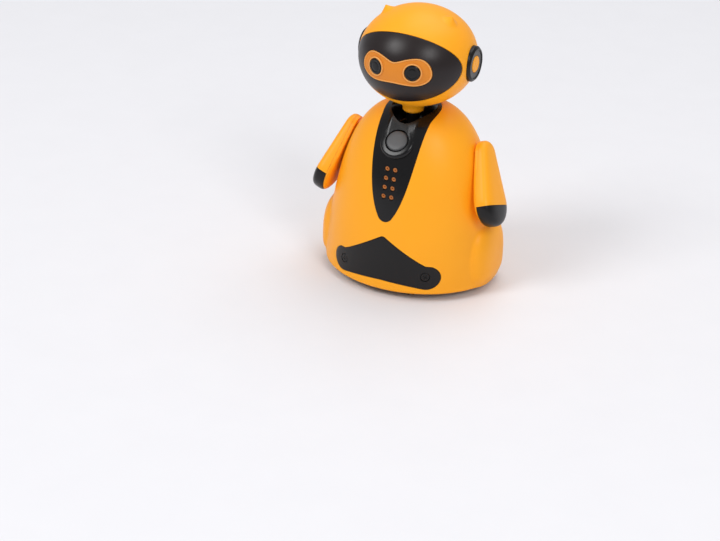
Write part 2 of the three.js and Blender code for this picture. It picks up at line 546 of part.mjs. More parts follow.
function buildDrive() {
  const toPinion = Math.atan2(motorZ - WHEEL.radius, MOTOR.y - WHEEL.y);
  const wheelGear = gear(GEAR.wheelTeeth, WHEEL.axleRadius + GAP, toPinion);
  const shaft = rodX(0.6, -2.4, 1.6, 0, 0, 10);
  const halfTooth = Math.PI / GEAR.pinionTeeth;
  const pinion = gear(GEAR.pinionTeeth, 0, toPinion + Math.PI + halfTooth).add(shaft);
  const halfWidth = WHEEL.width / 2;
  const rimRadius = WHEEL.hubRadius;
  const bore = WHEEL.axleRadius + GAP;
  const hubProfile = [
    [bore, -halfWidth], [rimRadius, -halfWidth], [rimRadius, halfWidth], [5.2, halfWidth],
    [5.2, 0.8], [2.8, 0.8], [2.8, halfWidth], [bore, halfWidth], [bore, -halfWidth],
  ];
  const tyreProfile = [
    [rimRadius + GAP, -halfWidth], [WHEEL.radius - 0.6, -halfWidth], [WHEEL.radius, -halfWidth + 0.6],
    [WHEEL.radius, halfWidth - 0.6], [WHEEL.radius - 0.6, halfWidth], [rimRadius + GAP, halfWidth],
    [rimRadius + GAP, -halfWidth],
  ];
  const spun = (profile, segments) => solid(turnedGeometry(profile, segments).rotateY(Math.PI / 2));
  const rollerHalf = ROLLER.width / 2;
  const rollerBore = ROLLER.axleRadius + GAP;
  const rollerProfile = [
    [rollerBore, -rollerHalf], [ROLLER.radius - 0.5, -rollerHalf], [ROLLER.radius, -rollerHalf + 0.5],
    [ROLLER.radius, rollerHalf - 0.5], [ROLLER.radius - 0.5, rollerHalf], [rollerBore, rollerHalf],
    [rollerBore, -rollerHalf],
  ];
  for (const [label, side] of Object.entries(sides)) {
    const wheel = group(new THREE.Vector3(side * WHEEL.x, WHEEL.y, WHEEL.radius));
    wheel.scale.x = side;
    addPart(`wheel_hub_${label}`, spun(hubProfile, 16), GEAR_WHITE, wheel);
    addPart(`tyre_${label}`, spun(tyreProfile, 24), RUBBER, wheel);
    const axle = rodX(WHEEL.axleRadius, WHEEL.axleStart - WHEEL.x, halfWidth - 0.4, 0, 0, 12);
    addPart(`wheel_axle_${label}`, axle, STEEL, wheel);
    const gearPlace = group(new THREE.Vector3(side * GEAR.x, WHEEL.y, WHEEL.radius));
    addPart(`wheel_gear_${label}`, wheelGear, GEAR_WHITE, gearPlace);
    const pinionPlace = group(new THREE.Vector3(side * GEAR.x, MOTOR.y, motorZ));
    pinionPlace.scale.x = side;
    addPart(`pinion_${label}`, pinion, BRASS, pinionPlace);
    const rollerPlace = group(new THREE.Vector3(side * ROLLER.x, ROLLER.y, ROLLER.radius));
    addPart(`front_roller_${label}`, spun(rollerProfile, 14), SATIN_BLACK, rollerPlace);
  }
  const axleEnd = 11.7;
  addPart("roller_axle", rodX(ROLLER.axleRadius, -axleEnd, axleEnd, ROLLER.y, ROLLER.radius, 10), STEEL);
}

// ---------------------------------------------------------------- chassis and electronics
function buildChassis() {
  const outline = new THREE.Shape().absellipse(0, 0, BASE.rx, BASE.ry, 0, 2 * Math.PI, false, 0);
  const slabOptions = { depth: BASE.top - BASE.bottom, bevelEnabled: false, curveSegments: 14 };
  const slab = new THREE.ExtrudeGeometry(outline, slabOptions);
  const plate = solid(slab.translate(0, 0, BASE.bottom));
  const floor = BASE.top - 0.2;
  const [gearIn, gearOut] = [GEAR.x - GEAR.thick / 2 - 0.4, GEAR.x + GEAR.thick / 2 + 0.4];
  const [notch0, notch1] = [WHEEL.y - WHEEL.radius - 1, WHEEL.y + WHEEL.radius + 1];
  const ordered = (side, x0, x1) => [side * x0, side * x1].sort((a, b) => a - b);
  const mirrored = (side, x0, x1, ...rest) => block(...ordered(side, x0, x1), ...rest);
  const added = [];
  const removed = [];
  for (const side of [1, -1]) {
    removed.push(mirrored(side, gearIn, 40, notch0, notch1, 0, BASE.top + 0.1));
    added.push(mirrored(side, gearIn - 1, gearIn, notch0 - 0.2, notch1 + 0.2, floor, 17));
    added.push(mirrored(side, gearIn - 1, gearOut + 1, notch0 - 1.4, notch0 - 0.2, floor, 17));
    added.push(mirrored(side, gearIn - 1, gearOut + 1, notch1 + 0.2, notch1 + 1.4, floor, 17));
    added.push(mirrored(side, gearIn - 1, gearOut + 1, notch0 - 0.3, notch1 + 0.3, 15.9, 17));
    added.push(mirrored(side, gearOut, gearOut + 1, notch0 - 0.3, notch1 + 0.3, 6.2, 16));
    added.push(mirrored(side, 6, 16, MOTOR.y - 2, MOTOR.y + 2, floor, motorZ - MOTOR.height / 2 - GAP));
    const throughGearWalls = ordered(side, 17, 24.2);
    removed.push(rodX(WHEEL.axleRadius + GAP, ...throughGearWalls, WHEEL.y, WHEEL.radius));
    removed.push(rodX(1.2, ...throughGearWalls, MOTOR.y, motorZ));
    for (const [x0, x1] of [[4.3, 5.7], [10.5, 11.9]]) {
      added.push(mirrored(side, x0, x1, ROLLER.y - 1.9, ROLLER.y + 1.9, 1.2, BASE.bottom + 0.2));
    }
    const [slotY0, slotY1] = [ROLLER.y - ROLLER.radius - GAP, ROLLER.y + ROLLER.radius + GAP];
    removed.push(mirrored(side, ROLLER.x - 2.4, ROLLER.x + 2.4, slotY0, slotY1, 0, BASE.top + 0.1));
    const skid = new THREE.SphereGeometry(2, 8, 6).rotateX(Math.PI / 2);
    added.push(solid(skid.translate(side * 8.5, 23.4, 2.4)));
    added.push(rodZ(1.9, 2.4, BASE.bottom + 0.3, side * 8.5, 23.4, 8));
    removed.push(rodZ(1.5 + GAP, 0, 8, side * 2.6, -17, 8));
  }
  removed.push(rodX(ROLLER.axleRadius + GAP, -13, 13, ROLLER.y, ROLLER.radius, 6));
  baseScrews.forEach(([x, y]) => {
    removed.push(rodZ(1.3, 0, 8, x, y, 8), rodZ(2.5, 0, BASE.bottom + 1.2, x, y, 12));
  });

  // The battery box stands round the window that the door closes from below.
  const box = block(-11.2, 11.2, 6.4, 21.6, floor, 15).subtract(block(-9.9, 9.9, 7.7, 20.3, 0, 20));
  added.push(box, rodZ(2.7, floor, 10, 0, DOOR.tabY, 16));
  const doorRoom = (grow, top) => join(
    block(-DOOR.halfX - grow, DOOR.halfX + grow, DOOR.y0 - grow, DOOR.y1 + grow, 0, top),
    rodZ(2.6 + grow, 0, top, 0, DOOR.tabY, 20),
  );
  removed.push(doorRoom(GAP, BASE.bottom + DOOR.thick + GAP), block(-8.9, 8.9, 7.7, 20.3, 0, 8));
  removed.push(rodZ(1.3, 0, 9, 0, DOOR.tabY, 10));
  removed.push(block(SWITCH.x - 1.3, SWITCH.x + 1.3, SWITCH.y - 2.4, SWITCH.y + 2.4, 0, 8));
  addPart("chassis_base", cut(join(plate, ...added), ...removed), SATIN_BLACK);

  const door = doorRoom(0, BASE.bottom + DOOR.thick).subtract(block(-40, 40, -40, 40, -5, BASE.bottom));
  addPart("battery_door", cut(door, rodZ(1.3, 0, 9, 0, DOOR.tabY, 10)), SATIN_BLACK);
  const screwHead = (z) => [[0, z - 0.9], [1.9, z - 0.9], [1.9, z], [1, z]];
  const doorScrew = [...screwHead(BASE.bottom - GAP), [1, 8], [0, 8.4]];
  addPart("battery_door_screw", turned(doorScrew, 10), STEEL, group(new THREE.Vector3(0, DOOR.tabY, 0)));
  baseScrews.forEach(([x, y], i) => {
    const screw = [...screwHead(BASE.bottom + 0.9), [1, 12.6], [0, 13]];
    addPart(`base_screw_${i + 1}`, turned(screw, 8), STEEL, group(new THREE.Vector3(x, y, 0)));
  });
  for (let i = 0; i < 3; i += 1) {
    const middle = (i - 1) * CELL.pitch;
    const cell = rodX(CELL.radius, middle - CELL.length / 2, middle + CELL.length / 2, CELL.y, CELL.z, 20);
    addPart(`button_cell_${i + 1}`, cell, STEEL);
  }
  for (const [label, side] of Object.entries(sides)) {
    const [x0, x1] = ordered(side, 8.9, 9.4);
    addPart(`battery_contact_${label}`, block(x0, x1, CELL.y - 4, CELL.y + 4, 8.4, 16.4), BRASS);
    const [m0, m1] = ordered(side, MOTOR.innerX, MOTOR.innerX + MOTOR.length);
    const can = rodX(MOTOR.width / 2, m0, m1, MOTOR.y, motorZ, 24);
    const halfHeight = MOTOR.height / 2;
    const flats = block(m0, m1, MOTOR.y - 10, MOTOR.y + 10, motorZ - halfHeight, motorZ + halfHeight);
    addPart(`motor_${label}`, can.intersect(flats), STEEL);
  }
  const clampZ = motorZ + MOTOR.height / 2 + GAP;
  const clamp = join(
    block(-17, 17, MOTOR.y - 4, MOTOR.y + 4, clampZ, clampZ + 1.4),
    block(-3.4, 3.4, MOTOR.y - 3.5, MOTOR.y + 3.5, BASE.top + GAP, clampZ + 0.5),
    block(-3, 3, MOTOR.y - 3, MOTOR.y + 3, clampZ + 1, BOARD.z - GAP),
  );
  addPart("motor_clamp", clamp.subtract(rodZ(1.3, 15, 30, 0, MOTOR.y, 10)), SATIN_BLACK);
  const board = block(-BOARD.halfX, BOARD.halfX, BOARD.y0, BOARD.y1, BOARD.z, BOARD.z + BOARD.thick);
  addPart("main_board", board.subtract(rodZ(1.3, 15, 30, 0, MOTOR.y, 10)), BOARD_GREEN);
  const boardTop = BOARD.z + BOARD.thick + GAP;
  const boardScrew = [
    [0, 17.6], [1, 18], [1, boardTop], [2, boardTop], [2, boardTop + 0.9], [0, boardTop + 1.2],
  ];
  addPart("board_screw", turned(boardScrew, 12), STEEL, group(new THREE.Vector3(0, MOTOR.y, 0)));
  // Two infrared eyes are soldered under the line sensor's board and look down through the base.
  const sensorZ = BASE.top + GAP;
  const infraredEye = (side) => rodZ(1.5, 3, sensorZ + 0.2, side * 2.6, -17, 12);
  const sensorBoard = block(-6, 6, -19.6, -14, sensorZ, sensorZ + 1);
  addPart("line_sensor_board", join(sensorBoard, infraredEye(1), infraredEye(-1)), BOARD_GREEN);

  addPart("power_switch", block(SWITCH.x - 2, SWITCH.x + 2, 2, 11, BASE.top + GAP, BASE.top + 4), STEEL);
  const knobY = SWITCH.y - SWITCH.travel / 2;
  addPart("switch_knob", block(SWITCH.x - 1, SWITCH.x + 1, knobY - 1, knobY + 1, 3, BASE.top), BUTTON_GREY);
}

buildHead();
buildBody();
buildChest();
buildArms();
buildDrive();
buildChassis();

export default robot;
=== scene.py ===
"""The looks of a line-following toy robot: moulded shells, panels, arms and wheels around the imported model.

Shapes are worked out in millimetres and written in metres. +Z is up, the face looks along -Y and the robot's
left is +X.
"""

import contextlib
import json
import math

import bmesh
import bpy
import numpy as np
from mathutils import Matrix, Vector


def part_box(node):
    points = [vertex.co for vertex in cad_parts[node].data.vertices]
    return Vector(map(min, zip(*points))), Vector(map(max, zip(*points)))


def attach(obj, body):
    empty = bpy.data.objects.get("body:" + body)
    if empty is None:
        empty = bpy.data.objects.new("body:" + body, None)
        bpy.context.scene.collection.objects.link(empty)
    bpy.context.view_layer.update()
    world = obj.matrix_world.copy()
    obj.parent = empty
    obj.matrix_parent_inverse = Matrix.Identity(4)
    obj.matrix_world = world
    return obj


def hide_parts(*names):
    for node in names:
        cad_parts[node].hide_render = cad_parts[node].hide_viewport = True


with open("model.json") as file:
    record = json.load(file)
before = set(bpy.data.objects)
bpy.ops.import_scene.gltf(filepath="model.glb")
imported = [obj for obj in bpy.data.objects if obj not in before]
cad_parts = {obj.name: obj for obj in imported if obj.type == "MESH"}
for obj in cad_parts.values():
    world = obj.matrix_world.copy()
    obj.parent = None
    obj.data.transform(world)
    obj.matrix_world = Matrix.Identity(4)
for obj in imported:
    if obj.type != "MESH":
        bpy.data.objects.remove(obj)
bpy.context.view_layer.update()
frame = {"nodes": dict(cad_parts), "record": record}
RECORD = frame["record"]
BODY_OF = {node: body for body, nodes in RECORD["behaviour"]["bodies"].items() for node in nodes}
SLOT_OF = {row["node"]: row["material_slot"] for row in RECORD["subparts"]}
SIDES = {"left": 1, "right": -1}
FORWARD = (0, -1, 0)
MM = 0.001

# Lengths in these tables are in millimetres and angles in degrees, unless a comment says otherwise.
SEAM = 0.07  # the gap that shows between two moulded pieces
FAR = 60  # past the robot's sides

HEAD = {"rx": 21.6, "ry": 22.2, "rz": 18.2, "y": -2.4, "z": 86.8, "wall": 3.2, "split": 8.0}
HEAD_MIDDLE = (0, HEAD["y"], HEAD["z"])
VISOR = {"rx": 20.4, "rz": 12.5, "z": 87.0, "thick": 1.3}
EYE = {"x": 7.15, "z": 87.5, "radius": 2.8}
EAR = {"y": -0.9, "z": 86.6, "radius": 6.5, "face": 22.2, "seat": 19.4, "cap": 3.0}
HORN = {"x": 12.3, "y": -3.5, "height": 2.3, "reach": 3.6, "tilt": 0.42}  # tilt in radians
NECK = {"y": -4.7, "radius": 3.9, "bottom": 66.0, "top": 73.2, "bore": 2.8}
# The bell is turned and then squeezed to a depth that is a share of its width.
BELL = {"radius": 33.7, "depth": 0.862, "base": 4.0, "top": 68.33, "rim": 3.0, "wall": 2.8}
# The Bezier points of the bell's side, as radius and height.
BELL_CORNERS = [(BELL["radius"], BELL["base"]), (29.44, 71.0), (10.56, BELL["top"]), (0.0, BELL["top"])]
FENDER = {"x": 26.1, "z": 9.8, "rx": 9.0, "ry": 13.2, "rise": 17.6, "drop": 9.0, "bottom": 2.5}
FENDER_POWER = 2.8  # 2 would be an ellipsoid, more is boxier
BLEND = 0.5  # how softly a fender runs into the bell
BIB = {"tip": 29.7, "radius": 3.1, "half": 9.25, "thick": 1.4}
COLLAR = {"y": -4.2, "radius": 10.3, "lead": 1.6}  # lead: how many times longer in front than it is round
WELL = {"y": -5.2, "half": 6.8, "depth": 1.25, "floor": 60.0, "wall": 1.6}  # depth: times its width
PLATE = {"apex": 24.2, "lobe_x": 17.0, "lobe_z": 9.85, "radius": 4.65, "middle": 10, "thick": 1.2}
PLATE_SCREW = {"x": 16.6, "z": 10.2}
BUTTON = {"y": -18.2, "z": 58.7, "tilt": 45.0, "radius": 3.9, "pad": 6.1}
HOLES = {"half_pitch": 1.55, "rows": 4, "top": 48.85, "pitch": 3.28, "radius": 0.95, "sound": 0.36}
ARM = {"x": 26.5, "y": 1.0, "z": 51.8, "tilt": 22.2, "swing": 21.1, "length": 18.2, "top": 5.0, "hand": 8.65}
ARM_HALF = {"top": 3.45, "hand": 3.8, "inner_top": 1.05, "inner_hand": 3.0, "thick": 1.4, "cuff": 19.2}
ARM_POWER = 0.6  # 1 would be an ellipse in section, less is boxier
PIN = {"radius": 2.4, "head": 3.3, "hole": 2.75, "end": -8.2}
WHEEL = {"x": 25.9, "y": 1.5, "radius": 9.0, "width": 4.0, "hub": 6.6, "bore": 1.3}
ROLLER = {"x": 8.1, "y": -21.5, "radius": 3.0, "width": 4.0, "bore": 1.05}
# The camera's place and angles, worked out from the photograph.
CAMERA = {"spot": (229.39, -530.74, 292.59), "turn": 25.32, "dip": 27.08, "roll": 1.79, "lens": 83.8}


# -------- materials
def linear(red, green, blue):
    """An sRGB colour, 0 to 255, as the linear values that a shader takes."""
    shares = (channel / 255 for channel in (red, green, blue))
    return tuple(s / 12.92 if s <= 0.04045 else ((s + 0.055) / 1.055) ** 2.4 for s in shares) + (1.0,)


def noise(tree, where, scale, octaves=2.0):
    texture = tree.nodes.new("ShaderNodeTexNoise")
    texture.inputs["Scale"].default_value = scale
    texture.inputs["Detail"].default_value = octaves
    tree.links.new(where, texture.inputs["Vector"])
    return texture.outputs["Fac"]


def moulded(name, colour, shade, roughness, grain, metallic=0.0, coat=0.0, gloss=0.5, grain_scale=2600.0):
    """Moulded or machined stock: a slow drift between two near colours, uneven polish and a fine grain."""
    material = bpy.data.materials.new(name)
    material.use_nodes = True
    tree = material.node_tree
    nodes, links = tree.nodes, tree.links
    shader = nodes["Principled BSDF"]
    shader.inputs["Metallic"].default_value = metallic
    shader.inputs["Specular IOR Level"].default_value = gloss
    shader.inputs["Coat Weight"].default_value = coat
    shader.inputs["Coat Roughness"].default_value = 0.12
    where = nodes.new("ShaderNodeTexCoord").outputs["Object"]

    mix = nodes.new("ShaderNodeMix")
    mix.data_type = "RGBA"
    mix.inputs["A"].default_value = linear(*colour)
    mix.inputs["B"].default_value = linear(*shade)
    links.new(noise(tree, where, 55.0, 3.0), mix.inputs["Factor"])
    links.new(mix.outputs["Result"], shader.inputs["Base Color"])

    wear = 0.05
    polish = nodes.new("ShaderNodeMapRange")
    polish.inputs["To Min"].default_value = roughness - wear
    polish.inputs["To Max"].default_value = roughness + wear
    links.new(noise(tree, where, 320.0), polish.inputs["Value"])
    links.new(polish.outputs["Result"], shader.inputs["Roughness"])

    bump = nodes.new("ShaderNodeBump")
    bump.inputs["Strength"].default_value = grain
    bump.inputs["Distance"].default_value = 0.00002
    links.new(noise(tree, where, grain_scale, 1.0), bump.inputs["Height"])
    links.new(bump.outputs["Normal"], shader.inputs["Normal"])
    return material


MATERIALS = {
    "orange_plastic": moulded("orange_abs", (255, 170, 20), (253, 165, 22), 0.42, 0.18, gloss=0.32),
    "mask_plastic": moulded("mask_orange", (222, 134, 34), (216, 130, 38), 0.44, 0.2, gloss=0.3),
    "mask_rim": moulded("mask_rim_orange", (234, 164, 84), (230, 158, 80), 0.38, 0.15, gloss=0.3),
    # sound rings: the shell's orange made darker and duller, as painted shade inside the sound holes
    "ring_plastic": moulded("ring_orange_painted_shade", (196, 118, 58), (186, 112, 56), 0.46, 0.2, gloss=0.3),
    "gloss_black_plastic": moulded("gloss_black", (7, 6, 7), (10, 8, 9), 0.2, 0.05, gloss=0.34),
    "satin_black_plastic": moulded("satin_black", (9, 7, 7), (13, 9, 9), 0.3, 0.2, gloss=0.34),
    "visor_black": moulded("visor_black", (26, 17, 17), (30, 20, 19), 0.36, 0.1, gloss=0.36),
    "ear_face": moulded("ear_face_grey", (84, 82, 82), (62, 60, 61), 0.45, 0.5, grain_scale=1500.0),
    "button_plastic": moulded("button_grey", (66, 66, 67), (74, 74, 75), 0.42, 0.3),
    "tyre_rubber": moulded("tyre_rubber", (30, 30, 31), (40, 39, 38), 0.78, 0.6),
    "gear_plastic": moulded("gear_acetal", (228, 226, 216), (220, 217, 205), 0.42, 0.15),
    "brass": moulded("brass", (201, 164, 74), (186, 148, 62), 0.3, 0.1, metallic=1.0),
    "steel": moulded("plated_steel", (190, 192, 195), (170, 172, 176), 0.28, 0.12, metallic=1.0),
    "circuit_board": moulded("solder_mask", (26, 96, 52), (22, 84, 46), 0.35, 0.2, coat=0.4),
}


# -------- mesh helpers
def added(name, data):
    """A new object in the scene."""
    made = bpy.data.objects.new(name, data)
    bpy.context.scene.collection.objects.link(made)
    return made


@contextlib.contextmanager
def edited(mesh):
    """A mesh opened for editing."""
    work = bmesh.new()
    work.from_mesh(mesh)
    yield work
    work.to_mesh(mesh)
    work.free()


def new_piece(name, verts, faces):
    """A closed mesh from points in millimetres, with its faces turned outwards."""
    mesh = bpy.data.meshes.new(name)
    mesh.from_pydata((np.asarray(verts, float) * MM).tolist(), [], [tuple(map(int, face)) for face in faces])
    with edited(mesh) as work:
        bmesh.ops.recalc_face_normals(work, faces=work.faces)
    return added(name, mesh)


def discard(*pieces):
    for piece in pieces:
        bpy.data.objects.remove(piece, do_unlink=True)


def boolean(piece, operation, *tools):
    """Joins, cuts or crosses a piece with each tool in turn, and removes the tool."""
    for tool in tools:
        step = piece.modifiers.new("boolean", "BOOLEAN")
        step.object = tool
        step.operation = operation
        step.solver = "MANIFOLD"
        graph = bpy.context.evaluated_depsgraph_get()
        made = bpy.data.meshes.new_from_object(piece.evaluated_get(graph))
        piece.modifiers.clear()
        piece.data = made
        discard(tool)
    return piece


def cut(piece, *tools):
    return boolean(piece, "DIFFERENCE", *tools)


def join(piece, *tools):
    return boolean(piece, "UNION", *tools)


def cross(piece, *tools):
    return boolean(piece, "INTERSECT", *tools)


def merge(name, pieces):
    """Several separate solids as one piece."""
    work = bmesh.new()
    for piece in pieces:
        work.from_mesh(piece.data)
    mesh = bpy.data.meshes.new(name)
    work.to_mesh(mesh)
    work.free()
    discard(*pieces)
    return added(name, mesh)


def walls(rows, count):
    """The faces between rows of points, where each row is a closed loop."""
    pairs = [(k, (k + 1) % count) for k in range(count)]
    starts = range(0, (rows - 1) * count, count)
    return [(low + k, low + n, low + count + n, low + count + k) for low in starts for k, n in pairs]


def fans(rows, count):
    """The faces that close the first and the last row onto two more points, which follow the rows."""
    first, last = rows * count, (rows - 1) * count
    start = [(first, (k + 1) % count, k) for k in range(count)]
    return start + [(first + 1, last + k, last + (k + 1) % count) for k in range(count)]


def block(name, x0, x1, y0, y1, z0, z1):
    corners = [(x, y, z) for x in (x0, x1) for y in (y0, y1) for z in (z0, z1)]
    faces = [(0, 1, 3, 2), (4, 6, 7, 5), (0, 4, 5, 1), (2, 3, 7, 6), (0, 2, 6, 4), (1, 5, 7, 3)]
    return new_piece(name, corners, faces)


def soften(profile, radius, steps=4):
    """A profile with every corner rounded, except at its two ends."""
    made, most = [profile[0]], 0.45  # a rounding takes no more than this share of an edge
    for before, corner, after in zip(profile, profile[1:], profile[2:]):
        before, corner, after = (np.asarray(point, float) for point in (before, corner, after))
        back, ahead = before - corner, after - corner
        start = corner + back * min(radius / max(np.hypot(*back), 1e-9), most)
        end = corner + ahead * min(radius / max(np.hypot(*ahead), 1e-9), most)
        for i in range(steps + 1):
            t = i / steps
            made.append(tuple((1 - t) ** 2 * start + 2 * t * (1 - t) * corner + t * t * end))
    made.append(profile[-1])
    return made


def turned(name, profile, segments=72):
    """A (radius, height) profile turned about Z: from pole to pole, or a ring where it closes on itself."""
    ring = np.allclose(profile[0], profile[-1])
    rows = profile[:-1] if ring else profile
    angles = np.arange(segments) * 2 * math.pi / segments
    verts, loops = [], []
    for radius, height in rows:
        count = 1 if radius < 1e-9 else segments
        loops.append(np.arange(len(verts), len(verts) + count))
        verts.extend((radius * math.cos(a), radius * math.sin(a), height) for a in angles[:count])
    pairs = list(zip(loops, loops[1:])) + ([(loops[-1], loops[0])] if ring else [])
    faces = []
    for lower, upper in pairs:
        for k in range(segments):
            n = (k + 1) % segments
            if len(lower) == 1:
                faces.append((lower[0], upper[n], upper[k]))
            elif len(upper) == 1:
                faces.append((lower[k], lower[n], upper[0]))
            else:
                faces.append((lower[k], lower[n], upper[n], upper[k]))
    return new_piece(name, verts, faces)


def rod(radius, z0, z1):
    """The profile of a plain cylinder."""
    return [(0, z0), (radius, z0), (radius, z1), (0, z1)]


def place(piece, matrix):
    """Moves a piece by a matrix whose shift is in millimetres."""
    scaled = matrix.copy()
    scaled.translation *= MM
    piece.data.transform(scaled)
    return piece


def aim(piece, point, direction):
    """Turns a piece's own Z onto a direction and moves it to a point."""
    turn = Vector((0, 0, 1)).rotation_difference(Vector(direction)).to_matrix().to_4x4()
    return place(piece, Matrix.Translation(Vector(point)) @ turn)


def shifted(piece, x, y, z):
    return place(piece, Matrix.Translation((x, y, z)))


def lay(piece, side=1):
    """Turns a piece's own Z onto X, or onto -X where the side is -1."""
    piece.data.transform(Matrix.Rotation(side * math.pi / 2, 4, "Y"))
    return piece


def stretch(piece, x=1.0, y=1.0, z=1.0):
    piece.data.transform(Matrix.Diagonal((x, y, z, 1)))
    return piece


def bevel(piece, width, angle, segments=2):
    """Rounds the edges of a piece that are sharper than an angle."""
    least = math.radians(angle)
    with edited(piece.data) as work:
        sharp = [e for e in work.edges if len(e.link_faces) == 2 and e.calc_face_angle(0) > least]
        bmesh.ops.bevel(work, geom=sharp, offset=width * MM, segments=segments, profile=0.5, affect="EDGES")
    return piece


def smooth(piece, angle, field=None):
    """Shades smooth up to an angle. Faces that lie on the zero of a given field take its true normals."""
    mesh = piece.data
    mesh.shade_smooth()
    mesh.set_sharp_from_angle(angle=math.radians(angle))
    if field is None:
        return piece
    count = len(mesh.loops)
    corner = np.empty(count, np.int32)
    mesh.loops.foreach_get("vertex_index", corner)
    points = np.empty(len(mesh.vertices) * 3)
    mesh.vertices.foreach_get("co", points)
    points = points.reshape(-1, 3) / MM
    step, reach = 0.01, 0.03  # how far apart the slope is taken, and how far from the surface a point may be
    alike = 0.9  # the least cosine between a face's own normal and the true one
    moves = step * np.eye(3)
    slope = columns(*((field(points + move) - field(points - move)) / (2 * step) for move in moves))
    length = np.maximum(np.linalg.norm(slope, axis=1), 1e-9)
    true = slope / length[:, None]
    near = np.abs(field(points) / length) < reach
    normals = np.empty(count * 3)
    mesh.corner_normals.foreach_get("vector", normals)
    normals = normals.reshape(-1, 3)
    facing = np.repeat(
        np.array([polygon.normal[:] for polygon in mesh.polygons]),
        [polygon.loop_total for polygon in mesh.polygons], axis=0,
    )
    agree = near[corner] & (np.einsum("ij,ij->i", facing, true[corner]) > alike)
    normals[agree] = true[corner][agree]
    mesh.normals_split_custom_set(normals.tolist())
    return piece


def finish(piece, *nodes, material=None):
    """A piece takes the body of the first CAD node that it stands for, and that node's slot material unless
    another one is named.
    """
    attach(piece, BODY_OF[nodes[0]])
    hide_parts(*nodes)
    dress(piece, nodes[0], material)


def dress(piece, node, material=None):
    """A piece takes the material of a CAD node's slot, unless another one is named."""
    piece.data.materials.clear()
    piece.data.materials.append(MATERIALS[material or SLOT_OF[node]])


def detail(piece, node, material=None):
    """A small extra piece that rides with a CAD node and takes the material of its slot, unless another one
    is named.
    """
    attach(piece, BODY_OF[node])
    dress(piece, node, material)


# -------- outlines, in X and Z
def columns(*parts):
    """Rows of coordinates, from an array or one number for each coordinate."""
    return np.stack(np.broadcast_arrays(*parts), axis=1)


def bezier(points, steps=24):
    """Points along a Bezier curve of any degree."""
    t = np.linspace(0, 1, steps + 1)[:, None]
    points = [np.asarray(p, float) for p in points]
    degree = len(points) - 1
    return sum(math.comb(degree, i) * (1 - t) ** (degree - i) * t**i * p for i, p in enumerate(points))


def arc(x, z, radius, start, end, steps):
    """Points along an arc round (x, z) between two angles in degrees."""
    angles = np.radians(np.linspace(start, end, steps + 1))
    return columns(x + radius * np.cos(angles), z + radius * np.sin(angles))


def closed(*stretches):
    """Joined stretches as one closed outline without repeated points."""
    points = np.concatenate(stretches)
    step = np.linalg.norm(points - np.roll(points, 1, axis=0), axis=1)
    return points[step > 1e-4]


def mirrored(half):
    """A right-hand half, from the top middle to the bottom middle, and its mirror."""
    return closed(half, (half * [-1, 1])[::-1])


def grown(outline, by):
    """An outline moved outwards by a distance, or inwards where the distance is negative."""
    ahead, back = np.roll(outline, -1, axis=0), np.roll(outline, 1, axis=0)
    tangent = ahead - back
    tangent /= np.linalg.norm(tangent, axis=1)[:, None]
    normal = columns(tangent[:, 1], -tangent[:, 0])
    turning = np.sum(outline[:, 0] * ahead[:, 1] - ahead[:, 0] * outline[:, 1])
    return outline + by * normal * (1 if turning > 0 else -1)


def prism(name, outline, y0, y1):
    """An outline drawn out along Y."""
    count = len(outline)
    verts = [(x, y0, z) for x, z in outline] + [(x, y1, z) for x, z in outline]
    ends = [tuple(range(count)), tuple(range(2 * count - 1, count - 1, -1))]
    return new_piece(name, verts, ends + walls(2, count))


def visor_outline(steps=160):
    angles = np.arange(steps) * 2 * math.pi / steps
    return columns(VISOR["rx"] * np.cos(angles), VISOR["z"] + VISOR["rz"] * np.sin(angles))


def mask_outline():
    """One goggle outline round both eyes."""
    half = np.concatenate([
        bezier([(0, 90.7), (1.6, 90.6), (4.2, 92.6), (8.2, 92.6)]),
        bezier([(8.2, 92.6), (11.4, 92.6), (13.4, 89.6), (13.4, 86.9)]),
        bezier([(13.4, 86.9), (13.4, 84.2), (10.6, 82.3), (7, 82.3)]),
        bezier([(7, 82.3), (4.6, 82.3), (2.4, 82.7), (0, 82.7)]),
    ])
    return mirrored(half)


def bib_outline():
    """A round tip that widens to the collar."""
    lean = 32.7  # how far the tip's arc goes on above level, in degrees
    middle = BIB["tip"] + BIB["radius"]
    start = arc(0, middle, BIB["radius"], -lean, -lean, 0)[0]
    right = bezier([start, (7, 38), (8.4, 50), (BIB["half"], 61)], 40)
    top = np.array([(BIB["half"] + 1, 72), (-BIB["half"] - 1, 72)])
    left = (right * [-1, 1])[::-1]
    tip = arc(0, middle, BIB["radius"], 180 + lean, 360 - lean, 28)
    return closed(right, top, left, tip[1:-1])


def plate_outline():
    """A low gable between two round lobes."""
    notch, apex, foot = 16.0, 1.1, -95.0  # the lobe starts at notch and ends at the angle foot
    reach = notch - PLATE["lobe_x"]
    notch_z = PLATE["lobe_z"] + math.sqrt(PLATE["radius"] ** 2 - reach**2)
    turn = math.degrees(math.atan2(notch_z - PLATE["lobe_z"], reach))
    lobe = arc(PLATE["lobe_x"], PLATE["lobe_z"], PLATE["radius"], turn, foot, 36)
    crown, shoulder = PLATE["apex"] - 0.15, PLATE["apex"] - 0.5
    gable = bezier([(apex, shoulder), (notch - 0.6, notch_z + 0.45), (notch + 0.5, notch_z + 0.02)], 20)
    half = np.concatenate([
        bezier([(0, crown), (apex * 0.6, crown), (apex, shoulder)], 6),
        gable, lobe[6:], bezier([lobe[-1], (9, 6.7), (0, 7)], 24),
    ])
    return mirrored(half)


# -------- the two skins that panels lie on
def head_skin(x, z, inset):
    """Points on the front of the head, moved in along its normal by one inset or by one for each."""
    rx, ry, rz = HEAD["rx"], HEAD["ry"], HEAD["rz"]
    across = (x / rx) ** 2 + ((z - HEAD["z"]) / rz) ** 2
    depth = ry * np.sqrt(np.maximum(1 - across, 0))
    normal = columns(x / rx**2, -depth / ry**2, (z - HEAD["z"]) / rz**2)
    normal /= np.linalg.norm(normal, axis=1)[:, None]
    return columns(x, HEAD["y"] - depth, z) - np.asarray(inset).reshape(-1, 1) * normal


